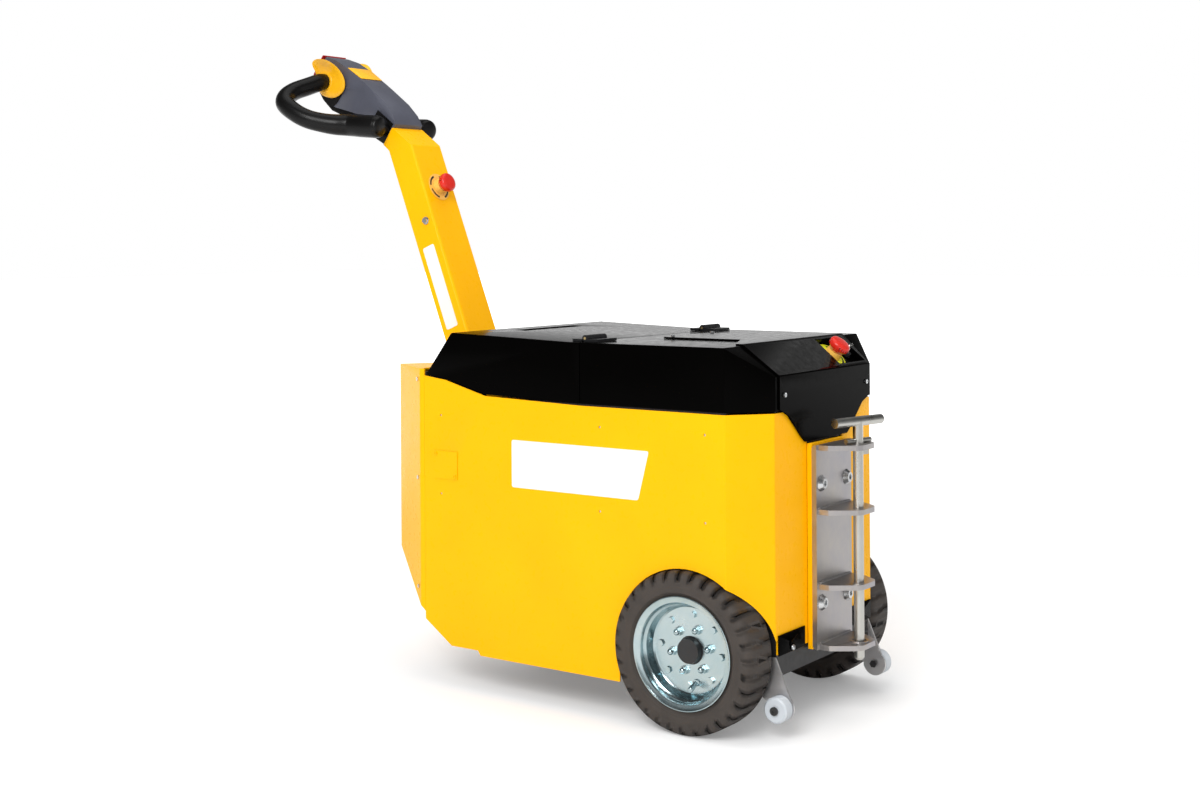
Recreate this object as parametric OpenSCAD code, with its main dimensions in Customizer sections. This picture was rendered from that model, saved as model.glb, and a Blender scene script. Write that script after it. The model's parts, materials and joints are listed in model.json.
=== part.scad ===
// Walk-behind electric tug: body, drive wheels, castor, tiller, covers, controls and tow hitch.
// Lengths are millimetres. +Z is up, +X points at the hitch, -Y is the near side, the floor is z = 0.
// Every piece is drawn about the drive axle (x = 0) and moved as a whole by axle_x.

/* [Body] */

// Distance from the middle of the overall length to the drive axle
axle_x = 434.1; // [425:0.1:450]
// Width over the side panels
body_w = 488; // [470:1:510]
// Thickness of the painted sheet
sheet_t = 3; // [2:0.5:4]
// Height of the side panels' bottom edge
skirt_z = 69; // [62:1:76]
// Height of the seam between the panels and the covers
seam_z = 552; // [540:1:566]
// Height of the covers' flat top
deck_z = 662; // [650:1:674]
// Distance from the axle back to the rear edge of the side panels
tail_x = 590; // [584:1:596]
// Distance from the axle to the front face of the panels
nose_x = 140; // [138:1:150]
// Length of the corner chamfer along the body
chamfer_x = 58; // [50:1:66]
// Depth of the corner chamfer across the body
chamfer_y = 66; // [56:1:72]
// How far the panel tops rise toward the rear
tail_rise = 38; // [30:1:44]
// Radius of the wheel arches
arch_r = 142; // [141:1:152]

/* [Covers] */

// Distance from the axle back to the seam between front cover and lid
split_x = 220; // [210:1:235]
// Gap between the front cover and the lid
split_gap = 2; // [1:0.5:4]
// Distance from the axle back to the lid's highest edge
lid_x = 523; // [500:1:540]
// Rise of the lid between its hinges and that edge
lid_rise = 9; // [4:1:14]
// Distance from the axle back to the foot of the lid's rear slope
lid_tail_x = 582; // [570:1:588]
// Height of the foot of the lid's rear slope
lid_tail_z = 596; // [592:1:606]
// Length of the hand slot in the lid
slot_w = 190; // [140:1:220]
// Width of the hand slot in the lid
slot_l = 26; // [20:1:36]
// Distance from the axle to the top of the nose slope
slope_x = 80; // [70:1:90]
// Height of the nose slope's lower edge
slope_z = 611; // [604:1:620]
// Length of the nose plate's tongue behind the axle
tongue_x = 150; // [130:1:170]
// Width of the nose plate's tongue
tongue_w = 152; // [130:1:170]
// Width of the nose plate across its slope
nose_w = 364; // [340:1:370]
// Height of the nose plate's lowest edge
bib_z = 492; // [490:1:500]
// Width of the nose plate's lowest edge
bib_w = 156; // [140:1:180]

/* [Rear end cover] */

// Distance from the axle back to the end cover's rear edge
end_x = 720; // [700:1:730]
// Width between the end cover's two rear edges
end_w = 340; // [320:1:360]
// Height of the end cover's top
end_z = 600; // [594:1:606]
// Height of the end cover's bottom at the rear
end_low = 245; // [220:1:260]
// Height of the end cover's bottom at the body
end_foot = 136; // [128:1:150]
// Width of the opening the tiller passes through
throat_w = 124; // [112:1:132]

/* [Drive wheels] */

// Radius of the drive tyres
wheel_r = 140; // [136:1:144]
// How far the drive tyres stand out beyond the side panels
tyre_out = 18; // [14:1:22]
// Width of a drive tyre
tyre_w = 80; // [72:1:84]
// Radius of the rim's flange
rim_r = 98; // [92:1:104]
// Width over the rim's flanges
rim_w = 72; // [66:1:74]
// Radius of the circle of wheel studs
stud_pcr = 38; // [36:1:42]
// Turn of the stud pattern at rest
stud_turn = 10; // [0:1:59]
// Radius of the circle of rim bolts
bolt_pcr = 61; // [58:1:66]
// Turn of the rim bolt pattern at rest
bolt_turn = 41; // [0:1:44]
// Radius of the drive shafts
shaft_r = 17; // [14:0.5:19]

/* [Castor] */

// Distance from the axle back to the castor's swivel axis
castor_x = 430; // [415:1:445]
// Radius of the castor wheel
castor_r = 75; // [70:1:80]
// Width of the castor wheel
castor_w = 44; // [36:1:50]
// Distance of the castor wheel's axle behind its swivel axis
trail_x = 34; // [28:1:38]

/* [Tow hitch] */

// Width of the hitch's back plates
hitch_w = 132; // [124:1:144]
// Thickness of the hitch's plates
plate_t = 9; // [7:0.5:10]
// Distance the flanges reach from the back plate
flange_l = 68; // [60:1:76]
// Height of the lowest flange's top
flange_z1 = 138; // [132:1:144]
// Height of the second flange's top
flange_z2 = 243; // [236:1:250]
// Height of the third flange's top
flange_z3 = 373; // [366:1:380]
// Height of the highest flange's top
flange_z4 = 485; // [478:1:487]
// Radius of the tow pin
pin_r = 9; // [8:0.5:10]
// Distance from the axle to the tow pin
pin_x = 206; // [200:1:210]
// Height of the tow pin's tip
pin_tip_z = 106; // [100:1:112]
// Height of the tow pin's handle bar
bar_z = 524; // [518:1:532]
// Length of the tow pin's handle bar
bar_l = 122; // [110:1:140]
// Turn of the tow pin's handle bar
bar_turn = 14; // [0:1:30]

/* [Tiller] */

// Distance from the axle back to the tiller's pivot
pivot_x = 553; // [545:1:558]
// Height of the tiller's pivot
pivot_z = 330; // [322:1:340]
// Backward lean of the tiller at rest
tiller_lean = 21.3; // [18:0.1:25]
// Width of the tiller arm
arm_w = 94; // [86:1:100]
// Depth of the tiller arm
arm_d = 62; // [56:1:66]
// Length of the arm's straight part
arm_l = 755; // [720:1:790]
// Height of the arm's bent top above the straight part
arm_top = 56; // [48:1:64]
// Further backward tilt of the handle head
head_tilt = 33; // [28:1:38]
// Length of the handle head
head_l = 272; // [262:1:286]
// Thickness of the handle head
head_d = 46; // [42:1:52]
// Radius of the grip tube
grip_r = 17.5; // [16:0.5:18.5]
// Reach of each grip loop from the head
loop_y = 131; // [122:1:138]
// Droop of the grip loops
loop_droop = 26; // [15:1:32]
// Radius of the grip loops' outer bend
loop_r = 54; // [48:1:58]

/* [Controls] */

// Radius of the emergency stop heads
stop_r = 20; // [17:0.5:22]
// Radius of the emergency stop backing discs
disc_r = 29.5; // [26:0.5:31]
// Travel of the emergency stop heads
stop_travel = 5; // [3:0.5:6]
// Distance of the front emergency stop from the middle
stop_y = 96; // [90:1:100]
// Distance of the key switch from the middle
key_y = 148; // [144:1:152]
// Travel of the reversing switch at the end of the head
belly_travel = 7; // [4:0.5:8]

/* [Stabiliser rollers] */

// Radius of the stabiliser rollers
roller_r = 22; // [19:0.5:24]
// Width of the stabiliser rollers
roller_w = 24; // [20:1:26]
// Distance from the axle to the rollers
roller_x = 150; // [147:1:154]
// Height of the rollers' axis
roller_z = 54; // [50:1:58]

/* [Fits] */

// Gap between pieces that are fastened together
fit = 0.3; // [0.2:0.05:0.3]
// Radial play of turning pieces
play = 0.06; // [0.03:0.01:0.1]
// Overrun of a cut beyond the surface it opens
over = 5; // [2:1:8]

/* [Hidden] */

// True circles everywhere; hexagons ask for their own count.
$fn = 48;
hex_count = 6;

half_w = body_w / 2;
panel_top = seam_z - sheet_t;
inner_y = half_w - sheet_t;
throat = throat_w / 2;
wheel_y = half_w + tyre_out - tyre_w / 2;
plate_thick = 2 * sheet_t;

// Frame side plates stand inboard of the wheels.
rail_out = wheel_y - tyre_w / 2 - 0.14 * tyre_w;
rail_in = rail_out - plate_thick;
rail_rear = tail_x + sheet_t + fit;
rail_front = nose_x - sheet_t - fit;
deck_low = 3 * castor_r;
shelf_z = 2.08 * wheel_r;
keel_z = 0.72 * wheel_r;

// Screw sizes used all over the machine.
small_r = 0.67 * sheet_t;
small_head_r = 1.9 * small_r;
big_r = 0.9 * plate_t;

cover_front_x = nose_x + 0.6 * sheet_t;
slope_deg = atan2(deck_z - slope_z, cover_front_x - slope_x);
slope_len = norm([cover_front_x - slope_x, deck_z - slope_z]);
tray_half = 0.42 * slope_len;
tray_deep = 4 * sheet_t;
tray_y0 = stop_y - disc_r - sheet_t;
tray_y1 = key_y + 5.5 * sheet_t;

hinge_y = 0.807 * half_w;
hinge_w = 0.246 * half_w;
hinge_r = 2 * sheet_t;
hinge_z = deck_z + hinge_r + fit;

back_x = nose_x + fit;
hitch_x = back_x + plate_t + fit;
flange_x = hitch_x + plate_t;

boss_r = arm_d / 2;
pivot_r = 0.39 * boss_r;
wall_t = 1.3 * sheet_t;
cap_x = arm_d / 2 - arm_top * tan(head_tilt);
bar_head_x = -0.62 * head_d;
bar_head_z = 0.83 * head_l;
loop_low_z = 0.17 * head_l;
stop_arm_z = 0.876 * arm_l;
bolt_arm_z = 0.786 * arm_l;

castor_top = deck_low - fit;

// Colours, as the photograph shows them
frame_black = [0.1, 0.1, 0.11];
cast_black = [0.14, 0.14, 0.15];
cast_grey = [0.45, 0.46, 0.48];
motor_grey = [0.2, 0.21, 0.23];
case_black = [0.09, 0.09, 0.1];
steel = [0.55, 0.56, 0.58];
dark_grey = [0.3, 0.31, 0.33];
case_blue = [0.16, 0.2, 0.26];
yellow = [0.98, 0.72, 0.05];
bright_steel = [0.6, 0.61, 0.63];
black_paint = [0.07, 0.07, 0.075];
lemon = [0.93, 0.85, 0.1];
red = [0.85, 0.1, 0.06];
zinc = [0.7, 0.71, 0.73];
brass = [0.75, 0.6, 0.3];
tyre_grey = [0.16, 0.15, 0.15];
bright_zinc = [0.75, 0.78, 0.82];
slate = [0.33, 0.34, 0.38];
soft_black = [0.05, 0.05, 0.055];
deep_red = [0.75, 0.06, 0.05];

function unit(v) = v / norm(v);
function side_of(a, b) = let (d = unit(b - a)) [-d[1], d[0]];
function joined(p, m, n, t) = p + t * (m + n) / (1 + m * n);
function shifted(p, t) = [
  for (i = [0 : len(p) - 1])
    let (
      m = side_of(p[max(i - 1, 0)], p[max(i, 1)]),
      n = side_of(p[min(i, len(p) - 2)], p[min(i + 1, len(p) - 1)])
    )
    joined(p[i], m, n, t)
];
function backward(p) = [for (i = [len(p) - 1 : -1 : 0]) p[i]];
function band(p, t0, t1) = concat(shifted(p, t0), backward(shifted(p, t1)));
function around(p, t) = [
  for (i = [0 : len(p) - 1])
    let (
      a = p[(i + len(p) - 1) % len(p)],
      b = p[(i + 1) % len(p)]
    )
    joined(p[i], side_of(a, p[i]), side_of(p[i], b), t)
];

// Plan line of the near panel, from the rear edge round the chamfer to the hitch.
panel_line = [
  [-tail_x, -half_w],
  [nose_x - chamfer_x, -half_w],
  [nose_x, chamfer_y - half_w],
  [nose_x, -hitch_w / 2]
];
panel_side = [
  [-tail_x, panel_top + tail_rise],
  [-tail_x, 0.87 * wheel_r],
  [-0.89 * tail_x, skirt_z + 3 * sheet_t],
  [-0.78 * tail_x, skirt_z + 3 * sheet_t],
  [-0.77 * tail_x, skirt_z],
  [-0.96 * arch_r, skirt_z],
  [-0.96 * arch_r, wheel_r],
  [nose_x + over, wheel_r],
  [nose_x + over, panel_top],
  [-split_x, panel_top],
  [-0.745 * tail_x, panel_top + 0.16 * tail_rise],
  [-0.912 * tail_x, panel_top + 0.84 * tail_rise]
];
cover_plan = [
  [-split_x + split_gap / 2, -half_w],
  [nose_x - chamfer_x, -half_w],
  [cover_front_x, chamfer_y - half_w],
  [cover_front_x, half_w - chamfer_y],
  [nose_x - chamfer_x, half_w],
  [-split_x + split_gap / 2, half_w]
];
cover_line = [
  [-tongue_x, deck_z],
  [slope_x, deck_z],
  [cover_front_x, slope_z],
  [cover_front_x, bib_z]
];
lid_front = -split_x - split_gap / 2;
lid_side = [
  [lid_front, seam_z + fit],
  [lid_front, deck_z],
  [lid_front - 4.4 * hinge_r, deck_z],
  [-lid_x, deck_z + lid_rise],
  [-lid_tail_x, lid_tail_z],
  [-0.986 * lid_tail_x, lid_tail_z - 3 * sheet_t],
  [-0.925 * lid_tail_x, seam_z + 0.84 * tail_rise + fit],
  [-0.755 * lid_tail_x, seam_z + 0.16 * tail_rise + fit]
];
end_line = [
  [-tail_x - fit, -half_w],
  [-tail_x - 4 * sheet_t, -half_w],
  [-end_x, -end_w / 2],
  [-tail_x - 0.38 * (end_x - tail_x), -throat],
  [-tail_x - 4 * sheet_t, -throat]
];

module at_axle() {
  translate([axle_x, 0, 0])
    children();
}

module both_sides() {
  children();
  mirror([0, 1, 0])
    children();
}

// A profile in x and z, drawn out sideways between two y values.
module drawn(points, y0, y1) {
  translate([0, y1, 0])
    rotate([90, 0, 0])
      linear_extrude(y1 - y0)
        polygon(points);
}

// A profile in y and z, drawn out along x.
module fronted(points, x0, x1) {
  translate([x0, 0, 0])
    rotate([90, 0, 90])
      linear_extrude(x1 - x0)
        polygon(points);
}

module block(x0, x1, y0, y1, z0, z1) {
  translate([x0, y0, z0])
    cube([x1 - x0, y1 - y0, z1 - z0]);
}

module rod_y(x, z, y0, y1, r) {
  translate([x, y1, z])
    rotate([90, 0, 0])
      cylinder(r = r, h = y1 - y0);
}

module rod_x(y, z, x0, x1, r) {
  translate([x0, y, z])
    rotate([0, 90, 0])
      cylinder(r = r, h = x1 - x0);
}

module rod_z(x, y, z0, z1, r) {
  translate([x, y, z0])
    cylinder(r = r, h = z1 - z0);
}

// A cap screw head with a hexagon socket, its seat at z = 0.
module screw_head(r, h) {
  difference() {
    cylinder(r = r, h = h);
    translate([0, 0, h / 2])
      cylinder(r = r / 2, h = h, $fn = hex_count);
  }
}

module hex_head(r, h) {
  cylinder(r = r, h = h, $fn = hex_count);
}

module near_wheel_frame() {
  translate([0, -wheel_y, wheel_r])
    rotate([90, 0, 0])
      children();
}

module nose_frame() {
  translate([(slope_x + cover_front_x) / 2, 0, (deck_z + slope_z) / 2])
    rotate([0, slope_deg, 0])
      children();
}

module tiller_frame() {
  translate([-pivot_x, 0, pivot_z])
    rotate([0, -tiller_lean, 0])
      children();
}

module head_frame() {
  tiller_frame()
    translate([cap_x, 0, arm_l + arm_top])
      rotate([0, -head_tilt, 0])
        children();
}

// Chassis.

rail_side = [
  [-rail_rear, deck_low - 2 * plate_thick],
  [-castor_x - 1.4 * castor_r, deck_low - 2 * plate_thick],
  [-castor_x + 1.5 * castor_r, keel_z],
  [rail_front, keel_z],
  [rail_front, panel_top - plate_thick],
  [-rail_rear, panel_top - plate_thick]
];

module rail_windows() {
  drawn(around([
    [-castor_x + 0.4 * castor_r, 1.15 * deck_low],
    [-0.9 * split_x, 1.15 * deck_low],
    [-0.9 * split_x, 0.86 * seam_z],
    [-castor_x + 0.4 * castor_r, 0.86 * seam_z]
  ], 0), rail_in - over, rail_out + over);
  drawn([
    [-0.5 * split_x, 1.15 * shelf_z],
    [0.5 * nose_x, 1.15 * shelf_z],
    [0.5 * nose_x, 0.86 * seam_z],
    [-0.5 * split_x, 0.86 * seam_z]
  ], rail_in - over, rail_out + over);
}

module rail_far() {
  difference() {
    union() {
      drawn(rail_side, rail_in, rail_out);
      // Top rail that the front cover and the panel lie against
      block(-castor_x, slope_x, rail_in, inner_y - fit, panel_top - 2 * sheet_t, panel_top);
      block(-castor_x, nose_x - chamfer_x, rail_out, inner_y - fit, panel_top - fit, seam_z);
      block(-castor_x, rail_front, rail_in, rail_out, panel_top - 2 * plate_thick, seam_z);
      // Rear bulkhead wing
      block(-rail_rear, -tail_x + sheet_t, throat, inner_y - fit, end_foot, end_z - 2 * sheet_t);
    }
    rail_windows();
    rod_y(0, wheel_r, rail_in - over, rail_out + over, 1.9 * shaft_r);
    rod_y(-pivot_x, pivot_z, rail_in - over, rail_out + over, pivot_r + fit);
    for (x = spacer_x)
      for (z = spacer_z)
        rod_y(x, z, rail_in - over, rail_out + over, small_r + fit);
    for (x = arm_bolt_x)
      rod_y(x, arm_bolt_z, rail_in - over, rail_out + over, 2 * small_r + fit);
  }
}

spacer_x = [-0.93 * tail_x, -0.3 * tail_x, 0.3 * nose_x];
spacer_z = [0.66 * seam_z, 0.93 * seam_z];
arm_bolt_x = [0.5 * nose_x, 0.8 * nose_x];
arm_bolt_z = 0.85 * wheel_r;
deck_bolt = 0.6 * castor_r;

module chassis_frame() {
  color(frame_black) at_axle()
    difference() {
      union() {
        both_sides()
          rail_far();
        // Battery deck over the castor
        block(-castor_x - 1.2 * castor_r, -0.6 * split_x, -rail_in, rail_in, deck_low,
          deck_low + plate_thick);
        // Electronics shelf over the transaxle
        block(-0.6 * split_x - plate_thick, rail_front, -rail_in, rail_in, shelf_z,
          shelf_z + plate_thick);
        block(-0.6 * split_x - plate_thick, -0.6 * split_x, -rail_in, rail_in, deck_low,
          shelf_z + plate_thick);
        // Front bulkhead behind the hitch
        block(rail_front - 2 * plate_thick, rail_front, -rail_in, rail_in, keel_z,
          seam_z - 2 * plate_thick);
        // Cross beam under the lid's rear edge
        block(-rail_rear, -tail_x + sheet_t, -throat - sheet_t, throat + sheet_t, end_foot,
          pivot_z - boss_r - 2 * sheet_t);
      }
      for (s = [-1, 1])
        for (z = hitch_bolt_z)
          rod_x(s * hitch_bolt_y, z, rail_front - 2 * plate_thick - over,
            rail_front + over, big_r + fit);
      for (x = [-1, 1])
        for (y = [-1, 1])
          rod_z(x * deck_bolt - castor_x, y * deck_bolt, deck_low - over,
            deck_low + plate_thick + over, 2 * small_r + fit);
    }
}

module axle_carriers() {
  color(cast_black) at_axle()
    both_sides()
      difference() {
        union() {
          rod_y(0, wheel_r, rail_out + fit, rail_out + 1.3 * plate_thick, 2.6 * shaft_r);
          rod_y(0, wheel_r, rail_out + fit, wheel_y - 0.22 * tyre_w, 1.8 * shaft_r);
        }
        rod_y(0, wheel_r, rail_in, wheel_y, shaft_r + play);
      }
}

gear_r = 0.47 * wheel_r;
module transaxle() {
  color(cast_grey) at_axle()
    difference() {
      union() {
        rod_y(0, wheel_r, fit - rail_in, rail_in - fit, 1.7 * shaft_r);
        rod_y(0, wheel_r, -0.3 * wheel_y, 0.22 * wheel_y, gear_r);
        rod_y(0, wheel_r, -0.33 * wheel_y, 0.25 * wheel_y, 0.7 * gear_r);
        both_sides()
          rod_y(0, wheel_r, rail_in - 2 * plate_thick, rail_in - fit, 2.6 * shaft_r);
        rod_x(0, 1.1 * wheel_r, -1.15 * gear_r, 0, 0.8 * gear_r);
        // Mounting ear under the electronics shelf
        block(-0.5 * gear_r, 0.5 * gear_r, -0.5 * gear_r, 0.5 * gear_r, wheel_r,
          shelf_z - fit);
      }
      both_sides()
        rod_y(0, wheel_r, 0.3 * rail_in, rail_in + over, shaft_r + play);
    }
}

motor_r = 0.38 * wheel_r;
module drive_motor() {
  x0 = -1.15 * gear_r - fit;
  color(motor_grey) at_axle() {
    rod_x(0, 1.1 * wheel_r, x0 - 2.4 * motor_r, x0, motor_r);
    rod_x(0, 1.1 * wheel_r, x0 - 2.6 * motor_r, x0 - 2.4 * motor_r, 0.8 * motor_r);
    rod_x(0, 1.1 * wheel_r, x0 - 0.2 * motor_r, x0, 1.1 * motor_r);
    for (a = [0 : 30 : 330])
      translate([x0 - 2.2 * motor_r, 0, 1.1 * wheel_r])
        rotate([a, 0, 0])
          translate([0, -sheet_t / 2, 0.9 * motor_r])
            cube([1.9 * motor_r, sheet_t, 0.16 * motor_r]);
  }
}

battery_l = 0.31 * tail_x;
battery_x0 = -castor_x - 0.1 * castor_r;
battery_z0 = deck_low + plate_thick + fit;
battery_h = 0.38 * seam_z;
battery_y1 = rail_in - sheet_t;
module battery_far_shape() {
  difference() {
    union() {
      block(battery_x0, battery_x0 + battery_l, sheet_t, battery_y1, battery_z0,
        battery_z0 + 0.84 * battery_h);
      block(battery_x0 - sheet_t, battery_x0 + battery_l + sheet_t, sheet_t / 2,
        battery_y1 + sheet_t / 2, battery_z0 + 0.84 * battery_h, battery_z0 + battery_h);
      for (x = [0.15, 0.85])
        rod_z(battery_x0 + x * battery_l, 0.5 * battery_y1, battery_z0 + battery_h,
          battery_z0 + 1.07 * battery_h, 2 * sheet_t);
    }
    for (x = [0.3, 0.5, 0.7])
      rod_z(battery_x0 + x * battery_l, 0.75 * battery_y1,
        battery_z0 + battery_h - sheet_t / 2, battery_z0 + battery_h + over, 3 * sheet_t);
  }
}

module battery_far() {
  color(case_black) at_axle()
    battery_far_shape();
}

module battery_near() {
  color(case_black) at_axle()
    mirror([0, 1, 0])
      battery_far_shape();
}

module battery_strap() {
  x0 = battery_x0 + 0.42 * battery_l;
  x1 = battery_x0 + 0.58 * battery_l;
  top = battery_z0 + battery_h;
  outer = battery_y1 + sheet_t / 2;
  color(steel) at_axle()
    fronted([
      [-outer - fit - sheet_t / 3, battery_z0],
      [-outer - fit, battery_z0],
      [-outer - fit, top + fit],
      [outer + fit, top + fit],
      [outer + fit, battery_z0],
      [outer + fit + sheet_t / 3, battery_z0],
      [outer + fit + sheet_t / 3, top + fit + sheet_t / 2],
      [-outer - fit - sheet_t / 3, top + fit + sheet_t / 2]
    ], x0, x1);
}

control_l = 0.3 * tail_x;
control_z0 = shelf_z + plate_thick + fit;
module motor_controller() {
  color(dark_grey) at_axle() {
    block(-0.55 * control_l, 0.3 * control_l, -0.6 * rail_in, 0.1 * rail_in, control_z0,
      control_z0 + sheet_t);
    block(-0.5 * control_l, 0.25 * control_l, -0.55 * rail_in, 0.05 * rail_in, control_z0,
      control_z0 + 0.1 * seam_z);
    for (i = [0 : 7])
      block(-0.45 * control_l, 0.2 * control_l, (i / 14 - 0.53) * rail_in,
        (i / 14 - 0.51) * rail_in, control_z0, control_z0 + 0.13 * seam_z);
    for (i = [0 : 2])
      rod_z(0.28 * control_l, (i / 6 - 0.4) * rail_in, control_z0,
        control_z0 + 0.06 * seam_z, 1.6 * sheet_t);
  }
}

module charger_unit() {
  color(case_blue) at_axle() {
    block(-0.5 * control_l, 0.3 * control_l, 0.3 * rail_in, 0.85 * rail_in, control_z0,
      control_z0 + 0.15 * seam_z);
    block(-0.55 * control_l, 0.35 * control_l, 0.25 * rail_in, 0.9 * rail_in, control_z0,
      control_z0 + sheet_t);
    for (i = [0 : 5])
      block(-0.4 * control_l, 0.2 * control_l, (0.35 + i / 12) * rail_in,
        (0.37 + i / 12) * rail_in, control_z0 + 0.1 * seam_z, control_z0 + 0.16 * seam_z);
  }
}

// Panels.

module side_panel() {
  color(yellow) at_axle()
    difference() {
      intersection() {
        translate([0, 0, skirt_z])
          linear_extrude(deck_z - skirt_z)
            polygon(band(panel_line, 0, sheet_t));
        drawn(panel_side, -half_w - over, 0);
      }
      rod_y(0, wheel_r, -half_w - over, chamfer_y - half_w + 2 * sheet_t, arch_r);
      for (z = hitch_bolt_z)
        rod_x(-hitch_bolt_y, z, nose_x - over, nose_x + over, big_r + fit);
      for (x = spacer_x)
        for (z = spacer_z)
          rod_y(x, z, -half_w - over, -inner_y + over, small_r + fit);
      for (x = access_screws)
        rod_y(x[0], x[1], -half_w - over, -inner_y + over, small_r + fit);
      rod_x(-guard_y, guard_z, nose_x - over, nose_x + over, small_r + fit);
      block(access_x - 0.6 * access_w / 2, access_x + 0.6 * access_w / 2, -half_w - over,
        -inner_y + over, access_z - 0.5 * access_w / 2, access_z + 0.5 * access_w / 2);
    }
}

access_x = -0.91 * tail_x;
access_z = 0.76 * seam_z;
access_w = 0.1 * tail_x;
access_screws = [
  [access_x - 0.4 * access_w, access_z + 0.35 * access_w],
  [access_x + 0.4 * access_w, access_z - 0.35 * access_w]
];
guard_y = 0.74 * (half_w - chamfer_y);
guard_z = 1.09 * wheel_r;

module near_side_panel() {
  side_panel();
}

module far_side_panel() {
  mirror([0, 1, 0])
    side_panel();
}

// Tubes between the frame and the panels, with the screws that hold both.
module panel_spacers() {
  color(bright_steel) at_axle()
    both_sides()
      for (x = spacer_x)
        for (z = spacer_z) {
          rod_y(x, z, rail_out + fit, inner_y - fit, 2.4 * small_r);
          rod_y(x, z, rail_in - fit, half_w - sheet_t / 2, small_r);
          rod_y(x, z, rail_in - fit - sheet_t, rail_in - fit, 2 * small_r);
        }
}

module access_cover() {
  color(yellow) at_axle() {
    difference() {
      block(access_x - access_w / 2, access_x + access_w / 2, -half_w - fit - sheet_t / 2,
        -half_w - fit, access_z - 0.45 * access_w, access_z + 0.45 * access_w);
      for (x = access_screws)
        rod_y(x[0], x[1], -half_w - over, -inner_y + over, small_r);
    }
    for (x = access_screws)
      translate([x[0], -half_w - fit - sheet_t / 2, x[1]])
        rotate([90, 0, 0])
          screw_head(small_head_r, small_r);
    for (x = access_screws)
      rod_y(x[0], x[1], -half_w - fit - sheet_t / 2, -inner_y + 2 * sheet_t, small_r);
  }
}

module corner_guards() {
  color(black_paint) at_axle()
    both_sides() {
      difference() {
        block(back_x, back_x + sheet_t, chamfer_y - half_w + 2 * sheet_t,
          -hitch_w / 2 - 5 * sheet_t, wheel_r - 0.6 * sheet_t, 1.235 * wheel_r);
        rod_x(-guard_y, guard_z, nose_x, back_x + sheet_t + over, small_r);
      }
      translate([back_x + sheet_t, -guard_y, guard_z])
        rotate([0, 90, 0])
          screw_head(small_head_r, small_r);
      rod_x(-guard_y, guard_z, nose_x - sheet_t, back_x + sheet_t, small_r);
    }
}

// Covers.

module front_cover() {
  color(black_paint) at_axle()
    difference() {
      union() {
        difference() {
          intersection() {
            translate([0, 0, seam_z + fit])
              linear_extrude(deck_z - seam_z - fit)
                polygon(cover_plan);
            drawn(cover_profile(0), -half_w - over, half_w + over);
          }
          intersection() {
            translate([0, 0, seam_z - over])
              linear_extrude(deck_z - seam_z + over)
                polygon(concat(
                  [[-split_x - over, half_w - sheet_t]],
                  [[-split_x - over, sheet_t - half_w]],
                  [for (i = [1 : 4]) shifted(cover_plan, sheet_t)[i]]
                ));
            drawn(cover_profile(sheet_t), -half_w - over, half_w + over);
          }
        }
        // Lip that lies on the frame's top rail
        both_sides()
          block(-split_x + split_gap, nose_x - chamfer_x, rail_out, inner_y + sheet_t / 2,
            seam_z + fit, seam_z + sheet_t);
      }
      nose_frame()
        translate([-tray_half, tray_y0, -tray_deep - over])
          cube([2 * tray_half, tray_y1 - tray_y0, tray_deep + 2 * over]);
      for (s = [-1, 1]) {
        rod_z(-0.9 * tongue_x, s * 0.45 * tongue_w, deck_z - over, deck_z + over,
          small_r + fit);
        rod_x(s * nose_screw_y, nose_screw_z, nose_x - over, cover_front_x + over,
          small_r + fit);
      }
    }
}

// Side profile of the front cover, drawn in by t.
function cover_profile(t) = [
  [-split_x - over, seam_z - over],
  [-split_x - over, deck_z - t],
  [slope_x - t * tan(slope_deg / 2), deck_z - t],
  [cover_front_x - t, slope_z - t * tan(45 - slope_deg / 2)],
  [cover_front_x - t, seam_z - over]
];

nose_screw_y = 0.42 * nose_w;
nose_screw_z = seam_z + 0.25 * (deck_z - seam_z);
nose_plan = [
  [-tongue_x, -tongue_w / 2],
  [0.1 * nose_x, -tongue_w / 2],
  [0.48 * nose_x, -nose_w / 2],
  [nose_x + 2 * over, -nose_w / 2],
  [nose_x + 2 * over, nose_w / 2],
  [0.48 * nose_x, nose_w / 2],
  [0.1 * nose_x, tongue_w / 2],
  [-tongue_x, tongue_w / 2]
];
nose_front = [
  [-bib_w / 2, bib_z],
  [bib_w / 2, bib_z],
  [0.58 * bib_w, bib_z + 3 * sheet_t],
  [0.38 * nose_w, seam_z - 3 * sheet_t],
  [0.46 * nose_w, seam_z + sheet_t],
  [0.46 * nose_w, slope_z],
  [0.5 * nose_w, deck_z],
  [0.5 * nose_w, deck_z + 2 * over],
  [-0.5 * nose_w, deck_z + 2 * over],
  [-0.5 * nose_w, deck_z],
  [-0.46 * nose_w, slope_z],
  [-0.46 * nose_w, seam_z + sheet_t],
  [-0.38 * nose_w, seam_z - 3 * sheet_t],
  [-0.58 * bib_w, bib_z + 3 * sheet_t]
];

module nose_plate() {
  color(black_paint) at_axle()
    difference() {
      intersection() {
        drawn(band(cover_line, fit, fit + sheet_t), -half_w, half_w);
        linear_extrude(deck_z + 2 * over)
          polygon(nose_plan);
        fronted(nose_front, -tongue_x - over, nose_x + 2 * over);
      }
      nose_frame()
        translate([-tray_half, tray_y0, -over])
          cube([2 * tray_half, tray_y1 - tray_y0, 3 * over]);
      for (s = [-1, 1]) {
        rod_z(-0.9 * tongue_x, s * 0.45 * tongue_w, deck_z - over, deck_z + 2 * over,
          small_r + fit);
        rod_x(s * nose_screw_y, nose_screw_z, nose_x - over, nose_x + 2 * over,
          small_r + fit);
      }
    }
}

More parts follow.
